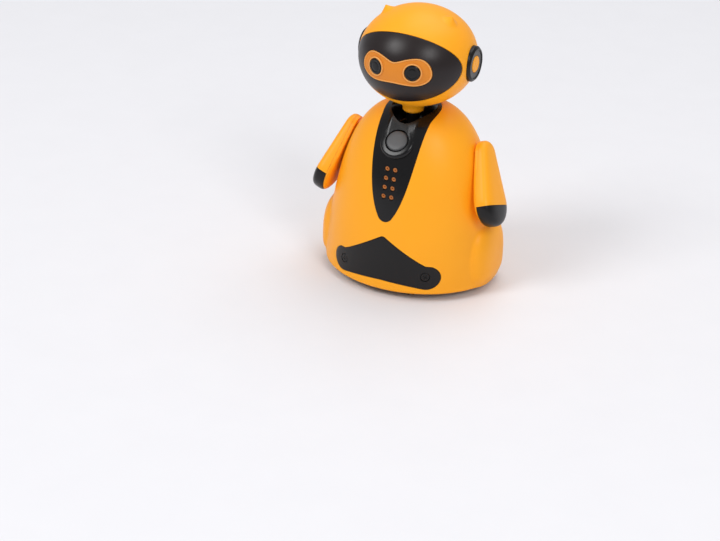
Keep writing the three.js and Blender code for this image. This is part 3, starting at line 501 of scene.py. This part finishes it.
def bell_curve(shares):
    """Radius and height along the bell's side, and the unit normal in that plane."""
    corners = [np.array(corner) for corner in BELL_CORNERS]
    t = np.asarray(shares, float)[:, None]
    point = (1 - t) ** 3 * corners[0] + 3 * t * (1 - t) ** 2 * corners[1] + 3 * t**2 * (1 - t) * corners[2]
    point = point + t**3 * corners[3]
    slope = 3 * (1 - t) ** 2 * (corners[1] - corners[0]) + 6 * t * (1 - t) * (corners[2] - corners[1])
    slope = slope + 3 * t**2 * (corners[3] - corners[2])
    slope = slope / np.linalg.norm(slope, axis=1)[:, None]
    return point, columns(slope[:, 1], -slope[:, 0])


BELL_SIDE = bell_curve(np.linspace(0, 1, 4001))[0]


def bell_radius(z):
    return np.interp(z, BELL_SIDE[:, 1], BELL_SIDE[:, 0])


def bell_skin(x, z, inset):
    """Points on the front of the bell, moved in along its normal."""
    radius = bell_radius(z)
    y = -BELL["depth"] * np.sqrt(np.maximum(radius**2 - x**2, 0))
    step = 0.05
    fall = (bell_radius(z + step) - bell_radius(z - step)) / (2 * step)
    normal = columns(x, y / BELL["depth"] ** 2, -radius * fall)
    normal /= np.linalg.norm(normal, axis=1)[:, None]
    return columns(x, y, z) - np.asarray(inset).reshape(-1, 1) * normal


def bell_point(x, z, inset=0.0):
    return bell_skin(np.array([x]), np.array([z]), inset)[0]


def panel(name, outline, centre, skin, rings, depth, shares, back_shares=7):
    """A panel on a skin: rings of (way in from the outline, inset) round its edge, then a smooth face.

    Both faces shrink in even shares to the centre, and depth is the inset of the back.
    """
    centre = np.asarray(centre, float)
    loops = []
    for way_in, inset in [(rings[0][0], depth), *rings]:
        points = grown(outline, -way_in)
        loops.append(skin(*points.T, inset))
    inner = grown(outline, -rings[-1][0])
    face_inset = rings[-1][1]
    for share in np.linspace(1, 0, shares + 1)[1:-1]:
        points = centre + (inner - centre) * share
        loops.append(skin(*points.T, face_inset))
    back = []
    for share in np.linspace(1, 0, back_shares + 1)[1:-1]:
        points = centre + (grown(outline, -rings[0][0]) - centre) * share
        back.append(skin(*points.T, depth))
    ends = skin(np.array([centre[0]] * 2), np.array([centre[1]] * 2), np.array([depth, face_inset]))
    verts = np.concatenate([*back[::-1], *loops, ends])
    rows, count = len(back) + len(loops), len(outline)
    return new_piece(name, verts, walls(rows, count) + fans(rows, count))


ROUND_EDGE = [(0.0, 0.22), (0.02, 0.12), (0.08, 0.04), (0.18, 0.0)]  # rings for a panel


def seat(name, outline, centre, skin, depth):
    """The room that a panel lies in, up to 2 mm outside the skin."""
    return panel(name, grown(outline, SEAM), centre, skin, [(0.0, -2.0)], depth + SEAM, shares=6)


def bead(name, path, radius, sides=8):
    """A closed bead of round section along points on the head."""
    tangent = np.roll(path, -1, axis=0) - np.roll(path, 1, axis=0)
    tangent /= np.linalg.norm(tangent, axis=1)[:, None]
    outward = path - HEAD_MIDDLE
    outward -= np.sum(outward * tangent, axis=1)[:, None] * tangent
    outward /= np.linalg.norm(outward, axis=1)[:, None]
    across = np.cross(tangent, outward)
    angles = np.arange(sides) * 2 * math.pi / sides
    verts = np.concatenate([path + radius * (math.cos(a) * outward + math.sin(a) * across) for a in angles])
    faces = [tuple(vert % len(verts) for vert in face) for face in walls(sides + 1, len(path))]
    return new_piece(name, verts, faces)


# -------- head
def head_field(points):
    """Below zero inside the head's ball."""
    x, y, z = ((points - HEAD_MIDDLE) / [HEAD["rx"], HEAD["ry"], HEAD["rz"]]).T
    return (np.sqrt(x * x + y * y + z * z) - 1) * HEAD["rz"]


def head_ball(name, inset, segments, rows):
    """The head without its nubs, smaller by an inset all round."""
    steps = np.linspace(-math.pi / 2, math.pi / 2, rows + 1)
    profile = [(max(math.cos(a), 0.0) if 0 < i < rows else 0.0, math.sin(a)) for i, a in enumerate(steps)]
    ball = turned(name, profile, segments)
    stretch(ball, HEAD["rx"] - inset, HEAD["ry"] - inset, HEAD["rz"] - inset)
    return shifted(ball, *HEAD_MIDDLE)


def raise_horn(work, side):
    """Refines the ball where a nub stands and draws it out into a small bump with a rounded point."""
    blunt, steepness = 0.09, 1.75  # how round the point is, in square millimetres, and how hollow the flanks
    middle = Vector(HEAD_MIDDLE)
    x = side * HORN["x"]
    up = HEAD["rz"] * math.sqrt(1 - (x / HEAD["rx"]) ** 2 - ((HORN["y"] - HEAD["y"]) / HEAD["ry"]) ** 2)
    foot = Vector((x, HORN["y"], HEAD["z"] + up))
    for reach in (HORN["reach"] + 0.6, HORN["reach"] * 0.55):
        near = [e for e in work.edges if all((v.co / MM - foot).length < reach for v in e.verts)]
        bmesh.ops.subdivide_edges(work, edges=near, cuts=2, use_grid_fill=True)
        for vert in work.verts:
            if (vert.co / MM - foot).length < reach + 1:
                away = vert.co / MM - middle
                scale = Vector((away.x / HEAD["rx"], away.y / HEAD["ry"], away.z / HEAD["rz"])).length
                vert.co = (middle + away / scale) * MM
    normal = Vector((x / HEAD["rx"] ** 2, 0, up / HEAD["rz"] ** 2)).normalized()
    pull = Vector((side * math.sin(HORN["tilt"]), 0, math.cos(HORN["tilt"])))
    for vert in work.verts:
        offset = vert.co / MM - foot
        offset -= offset.dot(normal) * normal
        distance = math.sqrt(offset.length_squared + blunt) / HORN["reach"]
        if distance < 1:
            vert.co += pull * (HORN["height"] * (1 - distance) ** steepness * MM)


def ear_rod(side, profile, name, segments=96):
    """A turned piece on an ear's axis, whose zero height is the seat in the head."""
    return aim(turned(name, profile, segments), (side * EAR["seat"], EAR["y"], EAR["z"]), (side, 0, 0))


def eye_frame(side):
    """Where an eye sits on the head's skin, and the level way out there."""
    point = head_skin(np.array([side * EYE["x"]]), np.array([EYE["z"]]), 0.0)[0]
    normal = np.array([point[0] / HEAD["rx"] ** 2, (point[1] - HEAD["y"]) / HEAD["ry"] ** 2, 0.0])
    return point, normal / np.linalg.norm(normal)


def eye_rod(side, profile, name, segments=64):
    """A turned piece on an eye's axis, whose zero height is the head's skin."""
    return aim(turned(name, profile, segments), *eye_frame(side))


def lamp_hole(side):
    """The hole behind an eye, through which its lamp shines."""
    return eye_rod(side, rod(EYE["radius"] - 0.5, -6, 4), "lamp_hole")


def neck_rod(profile, name):
    return shifted(turned(name, profile), 0, NECK["y"], 0)


def build_head():
    """The ball with its neck sleeve, split into a front and a rear shell, and what sits on its face."""
    face, face_centre = visor_outline(), (0, VISOR["z"])
    shell = head_ball("head_shell", 0, 200, 100)
    with edited(shell.data) as work:
        for side in SIDES.values():
            raise_horn(work, side)
    radius, bottom = NECK["radius"], NECK["bottom"]
    sleeve = [(0, bottom), (radius - 0.5, bottom), (radius, bottom + 0.6), (radius + 0.05, 67.4)]
    sleeve += [(radius + 0.35, 68.4), (radius + 1.1, 69.2), (radius + 2.4, 69.9), (radius + 2.4, 71.5)]
    sleeve += [(0, NECK["top"])]
    join(cut(shell, head_ball("head_room", HEAD["wall"], 72, 36)), neck_rod(sleeve, "neck_sleeve"))
    cut(shell, neck_rod(rod(NECK["bore"], 60, 75), "neck_bore"))
    cut(shell, seat("visor_seat", face, face_centre, head_skin, VISOR["thick"]))
    for side in SIDES.values():
        cut(shell, ear_rod(side, rod(EAR["radius"] + SEAM, -SEAM, 6), "ear_seat"), lamp_hole(side))
    rear = added("head_rear", shell.data.copy())
    cross(shell, block("front_half", -FAR, FAR, -FAR, HEAD["split"] - SEAM / 2, 0, 200))
    cross(rear, block("rear_half", -FAR, FAR, HEAD["split"] + SEAM / 2, FAR, 0, 200))
    shell.name = "head_front"
    finish(smooth(shell, 30, head_field), "head_front_shell")
    finish(smooth(rear, 30, head_field), "head_rear_shell")

    mask_edge, mask_centre = mask_outline(), (0, 87.2)
    visor = panel("visor_shell", face, face_centre, head_skin, ROUND_EDGE, VISOR["thick"], shares=40)
    cut(visor, seat("mask_seat", mask_edge, mask_centre, head_skin, 0.8 - 2 * SEAM))
    for side in SIDES.values():
        cut(visor, lamp_hole(side))
    finish(smooth(visor, 30, head_field), "visor", material="visor_black")
    build_mask(mask_edge, mask_centre)
    build_ears()


def build_mask(edge, centre):
    """The mask with a raised rim all round it and round each eye, and the eyes in it."""
    rings = [(0.0, 0.3), (0.02, 0.16), (0.1, 0.1), (0.3, 0.14), (0.5, 0.2), (0.7, 0.22)]
    mask = panel("mask_panel", edge, centre, head_skin, rings, 0.72, shares=26)
    beads = [bead("rim", head_skin(*grown(edge, -0.3).T, 0.17), 0.25)]
    ring = [(3.0, -0.5), (3.45, -0.5), (3.45, 0.02), (3.0, 0.06), (3.0, -0.5)]
    radius = EYE["radius"]
    lens = [(0, -1.6), (radius - 0.8, -1.6), (radius - 0.8, -0.7), (radius, -0.7), (radius, 0.02)]
    lens += [(radius - 0.35, 0.2), (radius - 0.75, 0.17), (radius - 0.95, 0.06), (1.2, 0.22), (0, 0.28)]
    for label, side in SIDES.items():
        cut(mask, eye_rod(side, rod(radius + SEAM, -6, 4), "eye_room"))
        beads.append(eye_rod(side, soften(ring, 0.12), "rim"))
        eye = eye_rod(side, soften(lens, 0.12, 3), f"eye_lens_{label}")
        finish(smooth(eye, 50), f"eye_{label}", material="gloss_black_plastic")
    finish(smooth(mask, 30), "eye_mask")
    detail(smooth(merge("mask_rim", beads), 60), "eye_mask", "mask_rim")


def build_ears():
    """A black disc on each side, with a grey ring on its face and an orange cap in its middle."""
    rim = EAR["face"] - EAR["seat"]
    room, outer, middle = EAR["cap"] + SEAM, EAR["radius"], EAR["cap"]
    disc = [(0, 0), (outer, 0), (outer, rim - 0.75), (outer - 0.75, rim), (outer - 1.25, rim)]
    disc += [(outer - 1.5, rim - 0.45), (room, rim - 0.5), (room, rim - 1.6), (0, rim - 1.6)]
    face = [(room + 0.05, rim - 0.52), (outer - 1.5, rim - 0.47), (outer - 1.5, rim - 0.36)]
    face += [(room + 0.35, rim - 0.3), (room + 0.05, rim - 0.4), (room + 0.05, rim - 0.52)]
    cap = [(0, rim - 1.3), (middle, rim - 1.3), (middle, rim - 0.25), (middle - 0.4, rim - 0.02)]
    cap += [(middle - 0.85, rim - 0.2), (0, rim - 0.08)]
    for label, side in SIDES.items():
        finish(smooth(ear_rod(side, soften(disc, 0.2), f"ear_body_{label}"), 40), f"ear_disc_{label}")
        detail(smooth(ear_rod(side, face, f"ear_face_{label}"), 40), f"ear_disc_{label}", "ear_face")
        finish(smooth(ear_rod(side, soften(cap, 0.15, 3), f"ear_button_{label}"), 50), f"ear_cap_{label}")


# -------- body
def fender_distance(points):
    """About how far points are outside the nearer fender."""
    high = (points[:, 2] - FENDER["z"]) / np.where(points[:, 2] > FENDER["z"], FENDER["rise"], FENDER["drop"])
    parts = [(np.abs(points[:, 0]) - FENDER["x"]) / FENDER["rx"], points[:, 1] / FENDER["ry"], high]
    level = sum(np.abs(part) ** FENDER_POWER for part in parts) ** (1 / FENDER_POWER)
    return (level - 1) * FENDER["rx"]


def body_field(points):
    """Below zero inside the bell with its two fenders, which run softly into each other."""
    around = np.hypot(points[:, 0], points[:, 1] / BELL["depth"])
    lean = 0.93  # the bell's side slopes, so it is a little nearer than it is level
    bell = np.where(
        points[:, 2] < BELL["top"] - 0.02,
        (around - bell_radius(np.clip(points[:, 2], BELL["base"], BELL["top"]))) * lean,
        points[:, 2] - BELL["top"],
    )
    fender = fender_distance(points)
    mix = np.maximum(BLEND - np.abs(bell - fender), 0) / BLEND
    return np.minimum(bell, fender) - mix * mix * BLEND / 4


def bell_shares(rows):
    """Steps up the bell's side, closer together near the ground."""
    return (np.arange(rows + 1) / rows) ** 1.25


def body_solid():
    """The outside on a polar grid, with a hollow inside and a rounded lower rim."""
    segments, rows, inner_rows = 360, 128, 40
    edge, spread = 0.9, 14  # the rim's rounding, and how many steps it takes from one height to the other
    angles = np.arange(segments) * 2 * math.pi / segments
    cos, sin = np.cos(angles), np.sin(angles)
    oval = 1 / np.sqrt(cos**2 + (sin / BELL["depth"]) ** 2)
    loops = []
    for radius, height in bell_curve(bell_shares(rows))[0][:-1]:
        reach = radius * oval
        if height < FENDER["z"] + FENDER["rise"] + 2:
            reach = outermost(cos, sin, height, reach)
        loops.append(columns(reach * cos, reach * sin, height))
    lowest = loops[0]
    on_fender = np.abs(lowest[:, 0]) > np.abs(BELL["radius"] * oval * cos) + 0.05
    drop = np.where(on_fender, FENDER["bottom"], BELL["rim"])
    drop = sum(np.roll(drop, step) for step in range(-spread, spread + 1)) / (2 * spread + 1)
    rim = []
    for share in (1.0, 0.75, 0.5, 0.25):
        turn = share * math.pi / 2
        back = edge * (1 - math.cos(turn))
        scale = 1 - back / np.hypot(lowest[:, 0], lowest[:, 1])
        height = BELL["base"] - (BELL["base"] - drop) * math.sin(turn)
        rim.append(columns(lowest[:, 0] * scale, lowest[:, 1] * scale, height))
    point, normal = bell_curve(bell_shares(inner_rows))
    hollow = point - BELL["wall"] * normal
    inner = [columns(radius * oval * cos, radius * oval * sin, height) for radius, height in hollow[:-1]]
    foot = inner[0].copy()
    foot[:, 2] = rim[0][:, 2]
    chain = [*inner[::-1], foot, *rim, *loops]
    verts = np.concatenate([*chain, [(0, 0, hollow[-1][1]), (0, 0, BELL["top"])]])
    return new_piece("shell_body", verts, walls(len(chain), segments) + fans(len(chain), segments))


def outermost(cos, sin, height, least):
    """How far out the body's surface lies along each direction at one height, and no less than `least`."""
    trial, halvings = np.linspace(46, 20, 105), 22
    grid = columns(np.outer(trial, cos).ravel(), np.outer(trial, sin).ravel(), height)
    inside = body_field(grid).reshape(len(trial), -1) < 0
    first = np.argmax(inside, axis=0)
    low, high = trial[first], trial[np.maximum(first - 1, 0)]
    for _ in range(halvings):
        middle = (low + high) / 2
        points = columns(middle * cos, middle * sin, height)
        within = body_field(points) < 0
        low, high = np.where(within, middle, low), np.where(within, high, middle)
    return np.maximum(least, low)


def bell_solid(name, inset, segments=200, rows=72):
    """The bell without its fenders, down to the ground."""
    point, normal = bell_curve(bell_shares(rows))
    line = point - inset * normal
    profile = [(0, 0), (line[0][0], 0), *[tuple(p) for p in line[:-1]], (0, line[-1][1])]
    return stretch(turned(name, profile, segments), y=BELL["depth"])


BUTTON_NORMAL = (0, -math.cos(math.radians(BUTTON["tilt"])), math.sin(math.radians(BUTTON["tilt"])))


def button_rod(profile, name, segments=72):
    """A turned piece on the chest button's axis, whose zero height is the pad's face."""
    return aim(turned(name, profile, segments), (0, BUTTON["y"], BUTTON["z"]), BUTTON_NORMAL)


def well_solid(name, grow):
    """The dished room round the neck."""
    lip = WELL["half"] + grow
    profile = [(0, WELL["floor"] - grow), (lip - 1.4, WELL["floor"] - grow), (lip - 0.7, WELL["floor"] + 1.6)]
    profile += [(lip - 0.3, 64.6), (lip + 0.7, 67.0), (lip + 2.6, 68.3), (lip + 4, 69.5), (lip + 4, 72)]
    profile += [(0, 72)]
    well = stretch(turned(name, soften(profile, 1.2, 6), 120), y=WELL["depth"])
    return shifted(well, 0, WELL["y"], 0)


def collar_zone(name, grow):
    """Round behind the neck, and long in front, where it runs into the straps."""
    radius = COLLAR["radius"] + grow
    back, front = (turned(f"{name}_{part}", rod(radius, 56, 75), 160) for part in ("back", "front"))
    stretch(front, y=COLLAR["lead"])
    cut(back, block("ahead", -20, 20, -40, -0.02, 0, 80))
    cut(front, block("behind", -20, 20, 0, 40, 0, 80))
    return shifted(join(back, front), 0, COLLAR["y"], 0)


def scoop_solid():
    """A U-shaped dish that opens from the button's pad up into the neck well."""
    side = [(4.9, 0), (5.3, 0.04), (5.6, 0.2), (5.85, 0.5), (6.1, 0.9), (6.6, 1.6), (8.6, 4), (9.5, 9)]
    steps, arms = 49, 14
    angles = np.linspace(math.pi, 2 * math.pi, steps)
    loops = []
    for reach, height in side:
        low = columns(reach * np.cos(angles), reach * np.sin(angles), height)
        loops.append(np.concatenate([[(-reach, arms, height)], low, [(reach, arms, height)]]))
    rows, count = len(loops), len(loops[0])
    ends = [tuple(range(count)), tuple(range((rows - 1) * count, rows * count))]
    scoop = new_piece("scoop", np.concatenate(loops), ends + walls(rows, count))
    right, normal = Vector((1, 0, 0)), Vector(BUTTON_NORMAL)
    turn = Matrix((right, normal.cross(right), normal)).transposed().to_4x4()
    return place(scoop, Matrix.Translation((0, BUTTON["y"], BUTTON["z"])) @ turn)


def hole_places():
    """The middle of each sound hole, on the bell's skin."""
    for row in range(HOLES["rows"]):
        for side in (1, -1):
            yield bell_point(side * HOLES["half_pitch"], HOLES["top"] - row * HOLES["pitch"])


def arm_frame(side):
    """An arm's own frame at the shoulder: X outwards along the pin, Z up along the arm."""
    tilt, swing = math.radians(ARM["tilt"]), math.radians(ARM["swing"])
    outward = Vector((side * math.cos(tilt), 0, math.sin(tilt)))
    hanging = Vector((side * math.sin(tilt), 0, -math.cos(tilt)))
    up = -(hanging * math.cos(swing) + Vector((0, -math.sin(swing), 0)))
    across = up.cross(outward)
    turn = Matrix((outward, across, up)).transposed().to_4x4()
    return Matrix.Translation((side * ARM["x"], ARM["y"], ARM["z"])) @ turn


def plate_screw_frame(side):
    """Where a plate screw stands on the bell's skin, and the way out there."""
    x, z = side * PLATE_SCREW["x"], PLATE_SCREW["z"]
    point = bell_point(x, z)
    return point, bell_point(x, z, -1.0) - point


def build_body():
    """The bell with the rooms for its panels, the shoulder holes and the plate's screws cut out of it."""
    shell = body_solid()
    bib_edge, plate_edge = bib_outline(), plate_outline()
    floor_depth = BIB["thick"] + SEAM
    recess = cut(prism("bib_seat", grown(bib_edge, SEAM), -40, COLLAR["y"]), bell_solid("under", floor_depth))
    collar = cut(collar_zone("collar_seat", SEAM), bell_solid("under", floor_depth))
    neck_room = well_solid("neck_room", WELL["wall"] + SEAM)
    cut(shell, recess, collar, neck_room, button_rod(rod(BUTTON["pad"] + 1, -9, 8), "button_room"))
    cut(shell, seat("plate_seat", plate_edge, (0, PLATE["middle"]), bell_skin, PLATE["thick"]))
    for side in SIDES.values():
        hole = lay(turned("shoulder", soften(rod(PIN["hole"], -14, 2), 0.01), 48))
        cut(shell, place(hole, arm_frame(side)))
        point, normal = plate_screw_frame(side)
        cut(shell, aim(turned("pilot", rod(1.1, -6, 3), 24), point, normal))
    finish(smooth(shell, 30, body_field), "body_shell")

    # Small orange rings of the shell stand in the panel's sound holes; their darker, duller orange is painted
    # shade of the holes.
    sound = HOLES["sound"]
    ring = [(sound, -1.9), (0.84, -1.9), (0.84, -0.42), (0.76, -0.34), (sound + 0.12, -0.36)]
    ring += [(sound, -0.48), (sound, -1.9)]
    rings = [aim(turned("ring", ring, 32), point, FORWARD) for point in hole_places()]
    detail(smooth(merge("sound_rings", rings), 40), "body_shell", "ring_plastic")
    build_bib(bib_edge)
    build_plate(plate_edge)


def build_bib(edge):
    """The chest panel with its collar, the neck's bowl, the button's pad and scoop, and the button."""
    bib = cross(bell_solid("panel_bib", 0), prism("zone", edge, -40, COLLAR["y"]))
    join(bib, cross(bell_solid("collar_skin", 0), collar_zone("collar", 0)))
    cut(bib, bell_solid("under", BIB["thick"]))
    bowl = cross(well_solid("bowl", WELL["wall"]), bell_solid("inside", 0.2))
    rim = BUTTON["pad"]
    pad = [(0, -1.9), (rim + 0.7, -1.9), (rim + 0.2, -0.25), (rim - 1.3, 0), (0, 0)]
    join(bib, bowl, button_rod(soften(pad, 1.1, 8), "pad"))
    mouth = BUTTON["radius"] + 0.38
    bore = [(0, -8), (mouth + 1, -8), (mouth + 1, -1.4), (mouth, -1.4), (mouth, -0.25), (mouth + 0.25, 0.05)]
    bore += [(mouth + 0.25, 8), (0, 8)]
    cut(bib, well_solid("well", 0), scoop_solid(), button_rod(bore, "button_bore"))
    cut(bib, neck_rod(rod(NECK["bore"], 50, 75), "post_bore"))
    radius, flare = HOLES["radius"], HOLES["radius"] + 0.14
    hole = [(0, -4), (radius, -4), (radius, -0.12), (flare, 0.06), (flare, 2), (0, 2)]
    for point in hole_places():
        cut(bib, aim(turned("mouth", hole, 32), point, FORWARD))
    finish(smooth(bib, 34, body_field), "bib_panel")

    radius = BUTTON["radius"]
    cap = [(0, -3), (radius + 1, -3), (radius + 1, -2.2), (radius, -2.2), (radius, 0.1)]
    cap += [(radius - 0.35, 0.38), (2.4, 0.46), (0, 0.5)]
    finish(smooth(button_rod(soften(cap, 0.15, 3), "button_cap"), 50), "mode_button")


def build_plate(edge):
    """The lower front plate and its two screws."""
    plate = panel("panel_plate", edge, (0, PLATE["middle"]), bell_skin, ROUND_EDGE, PLATE["thick"], shares=24)
    bore = [(0, -5), (1.3, -5), (1.3, -0.8), (1.8, -0.8), (1.8, -0.08), (1.9, 0.06), (1.9, 3), (0, 3)]
    screw = [(0, -3), (1, -3), (1, -0.6), (1.68, -0.6), (1.68, -0.24), (1.5, -0.1), (0.6, -0.04), (0, -0.04)]
    for label, side in SIDES.items():
        point, normal = plate_screw_frame(side)
        cut(plate, aim(turned("bore", bore, 48), point, normal))
        head = cross_slot(turned(f"screw_plate_{label}", soften(screw, 0.08, 2), 48), 0.95, 0.24, -0.35)
        finish(smooth(aim(head, point, normal), 40), f"plate_screw_{label}")
    finish(smooth(plate, 30), "front_plate")


def cross_slot(piece, reach, width, depth, top=1.0):
    """Cuts a screwdriver's cross into a screw's head, which faces its own +Z."""
    half = width / 2
    slots = [(-reach, reach, -half, half), (-half, half, -reach, reach)]
    for x0, x1, y0, y1 in slots:
        cut(piece, block("slot", x0, x1, y0, y1, depth, top))
    return piece


# -------- arms
def arm_solid(name):
    """A flat, rounded arm that widens to the hand, in its own frame."""
    levels = np.radians([-88, -84, -78, -71, -63, -54, -45, -36, -27, -19, -12, -6, -2])
    levels = np.concatenate([levels, -levels[::-1]])
    upper_steps, lower_steps = 33, 41
    share = np.linspace(0, 1, 14)[1:-1, None]
    loops = []
    for level in levels:
        reach, height = math.cos(level) ** ARM_POWER, math.copysign(abs(math.sin(level)) ** ARM_POWER, level)
        small, large = ARM["top"] * reach, ARM["hand"] * reach
        lean = math.asin((large - small) / ARM["length"])
        upper = np.linspace(lean, math.pi - lean, upper_steps)
        lower = np.linspace(math.pi - lean, 2 * math.pi + lean, lower_steps)
        top = columns(ARM_HALF["top"] * height, small * np.cos(upper), small * np.sin(upper))
        end = columns(ARM_HALF["hand"] * height, large * np.cos(lower), large * np.sin(lower) - ARM["length"])
        down, up = top[-1] + (end[0] - top[-1]) * share, end[-1] + (top[0] - end[-1]) * share
        loops.append(np.concatenate([top, down, end, up]))
    rows, count = len(loops), len(loops[0])
    ends = [tuple(range(count))[::-1], tuple(range((rows - 1) * count, rows * count))]
    return new_piece(name, np.concatenate(loops), ends + walls(rows, count))


def sliced(piece, point, normal):
    """Keeps the side of a plane that its normal points to, and closes the cut."""
    plane = {"plane_co": Vector(point) * MM, "plane_no": Vector(normal)}
    with edited(piece.data) as work:
        everything = work.verts[:] + work.edges[:] + work.faces[:]
        bmesh.ops.bisect_plane(work, geom=everything, **plane, clear_inner=True, dist=1e-7)
        bmesh.ops.holes_fill(work, edges=[edge for edge in work.edges if edge.is_boundary])
        bmesh.ops.recalc_face_normals(work, faces=work.faces)
    return piece


def build_arms():
    """Each arm is an inner half with its pin, an outer half, and a black hand that ends the outer half."""
    lean = math.atan2(ARM_HALF["inner_hand"] - ARM_HALF["inner_top"], ARM["length"])
    half_seam = 0.02
    thick, cuff = ARM_HALF["thick"], ARM_HALF["cuff"]
    radius, head, end = PIN["radius"], PIN["head"], PIN["end"]
    pin = [(0, end), (head, end), (head, end + 1), (radius, end + 1), (radius, -1), (0, -1)]
    outward = (math.cos(lean), 0, -math.sin(lean))
    inward = tuple(-part for part in outward)

    def behind(depth):
        """A point this far out from the inner half's back."""
        return (depth - ARM_HALF["inner_top"], 0, 0)

    for label, side in SIDES.items():
        stand = arm_frame(side)
        inner = sliced(arm_solid(f"arm_back_{label}"), behind(thick - half_seam), inward)
        bevel(sliced(inner, behind(0), outward), 0.12, 60)
        join(inner, lay(turned("pin", pin, 48)))
        finish(smooth(place(inner, stand), 32), f"arm_inner_{label}")
        upper = sliced(arm_solid(f"arm_front_{label}"), behind(thick + half_seam), outward)
        sliced(upper, (0, 0, half_seam - cuff), (0, 0, 1))
        finish(smooth(place(upper, stand), 32), f"arm_outer_{label}")
        hand = sliced(arm_solid(f"hand_cap_{label}"), behind(thick + half_seam), outward)
        sliced(hand, (0, 0, -half_seam - cuff), (0, 0, -1))
        finish(smooth(place(bevel(hand, 0.1, 50), stand), 32), f"hand_{label}")


# -------- underside
def along_x(name, profile, spot, side=1):
    """A turned piece whose axis runs along X."""
    return shifted(lay(turned(name, profile, 96), side), *spot)


def tyre_profile():
    """A tyre's section, with three grooves in its tread."""
    half, inner, outer = WHEEL["width"] / 2, WHEEL["hub"] + 0.05, WHEEL["radius"]
    profile = [(inner, -half), (outer - 0.5, -half), (outer, -half + 0.5)]
    for groove in (-0.75, 0.0, 0.75):
        profile += [(outer, groove - 0.16), (outer - 0.3, groove - 0.12)]
        profile += [(outer - 0.3, groove + 0.12), (outer, groove + 0.16)]
    return profile + [(outer, half - 0.5), (outer - 0.5, half), (inner, half), (inner, -half)]


def build_wheels():
    """The drive wheels' hubs and tyres, and the front rollers."""
    half, bore, rim = WHEEL["width"] / 2, WHEEL["bore"], WHEEL["hub"]
    hub = [(bore, -half), (rim, -half), (rim, half), (5.3, half), (5.1, 0.8), (2.9, 0.8), (2.7, half)]
    hub += [(bore, half), (bore, -half)]
    half, bore, rim = ROLLER["width"] / 2, ROLLER["bore"], ROLLER["radius"]
    roller = [(bore, -half), (rim - 0.5, -half), (rim, -half + 0.5), (rim, half - 0.5), (rim - 0.5, half)]
    roller += [(bore, half), (bore, -half)]
    for label, side in SIDES.items():
        spot = (side * WHEEL["x"], WHEEL["y"], WHEEL["radius"])
        finish(smooth(along_x(f"tread_{label}", tyre_profile(), spot, side), 30), f"tyre_{label}")
        finish(smooth(along_x(f"hub_{label}", soften(hub, 0.15, 2), spot, side), 30), f"wheel_hub_{label}")
        spot = (side * ROLLER["x"], ROLLER["y"], ROLLER["radius"])
        finish(smooth(along_x(f"roller_{label}", soften(roller, 0.3, 3), spot), 40), f"front_roller_{label}")


def build_base_screws():
    """Each screw in the underside gets a rounded head with a cross, where the CAD screw stands."""
    for node in [f"base_screw_{i}" for i in range(1, 5)] + ["battery_door_screw"]:
        low, high = (np.array(corner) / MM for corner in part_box(node))
        x, y = (low[:2] + high[:2]) / 2
        radius, length = (high[0] - low[0]) / 2, high[2] - low[2]
        profile = [(0, -length), (1, -length + 0.5), (1, -0.9), (radius, -0.9), (radius, -0.35)]
        profile += [(radius - 0.45, -0.03), (0, 0)]
        screw = cross_slot(turned(f"screw_{node}", soften(profile, 0.1, 2), 48), 1.15, 0.34, -0.6)
        finish(smooth(aim(screw, (x, y, low[2]), (0, 0, -1)), 40), node)


def dress_cad_nodes():
    """The CAD nodes that still show keep their shape, with broken edges and a finish of their own."""
    for node, piece in frame["nodes"].items():
        if piece.hide_render:
            continue
        piece.data.materials.clear()
        piece.data.materials.append(MATERIALS[SLOT_OF[node]])
        edge = piece.modifiers.new("broken_edges", "BEVEL")
        edge.width = 0.1 * MM
        edge.segments = 2
        edge.limit_method = "ANGLE"
        edge.angle_limit = math.radians(35)


# -------- stage
def build_stage():
    """A plain pale floor and soft studio light."""
    half = 4000
    corners = [(-half, -half, 0), (half, -half, 0), (half, half, 0), (-half, half, 0)]
    floor = new_piece("floor", corners, [(0, 1, 2, 3)])
    floor.data.materials.append(moulded("floor_white", (231, 230, 233), (228, 227, 230), 0.6, 0.1, gloss=0.2))

    lamps = {  # place and size in metres, and power in watts
        "key": ((-0.7, -1.0, 1.2), 0.65, 11.0),
        "fill": ((0.95, -0.75, 0.95), 0.5, 6.0),
        "top": ((0.1, 0.5, 1.5), 1.3, 10.2),
    }
    target = Vector((0, 0, 0.05))
    for name, (spot, size, power) in lamps.items():
        light = bpy.data.lights.new(name, "AREA")
        light.size = size
        light.energy = power
        lamp = added(name, light)
        lamp.location = spot
        lamp.rotation_euler = (target - Vector(spot)).to_track_quat("-Z", "Y").to_euler()

    world = bpy.data.worlds.new("studio")
    world.use_nodes = True
    sky = world.node_tree.nodes["Background"]
    sky.inputs["Color"].default_value = (0.95, 0.97, 1.0, 1)
    sky.inputs["Strength"].default_value = 0.47
    bpy.context.scene.world = world
    bpy.context.scene.view_settings.view_transform = "Standard"


def build_camera():
    turn, dip, roll = (math.radians(CAMERA[word]) for word in ("turn", "dip", "roll"))
    camera = bpy.data.cameras.new("camera")
    camera.lens = CAMERA["lens"]
    camera.sensor_width = 36
    camera.clip_start = 0.01
    seer = added("camera", camera)
    shift = Matrix.Translation(Vector(CAMERA["spot"]) * MM)
    aimed = Matrix.Rotation(turn, 4, "Z") @ Matrix.Rotation(math.pi / 2 - dip, 4, "X")
    seer.matrix_world = shift @ (aimed @ Matrix.Rotation(roll, 4, "Z"))
    bpy.context.scene.camera = seer


build_head()
build_body()
build_arms()
build_wheels()
build_base_screws()
dress_cad_nodes()
build_stage()
build_camera()
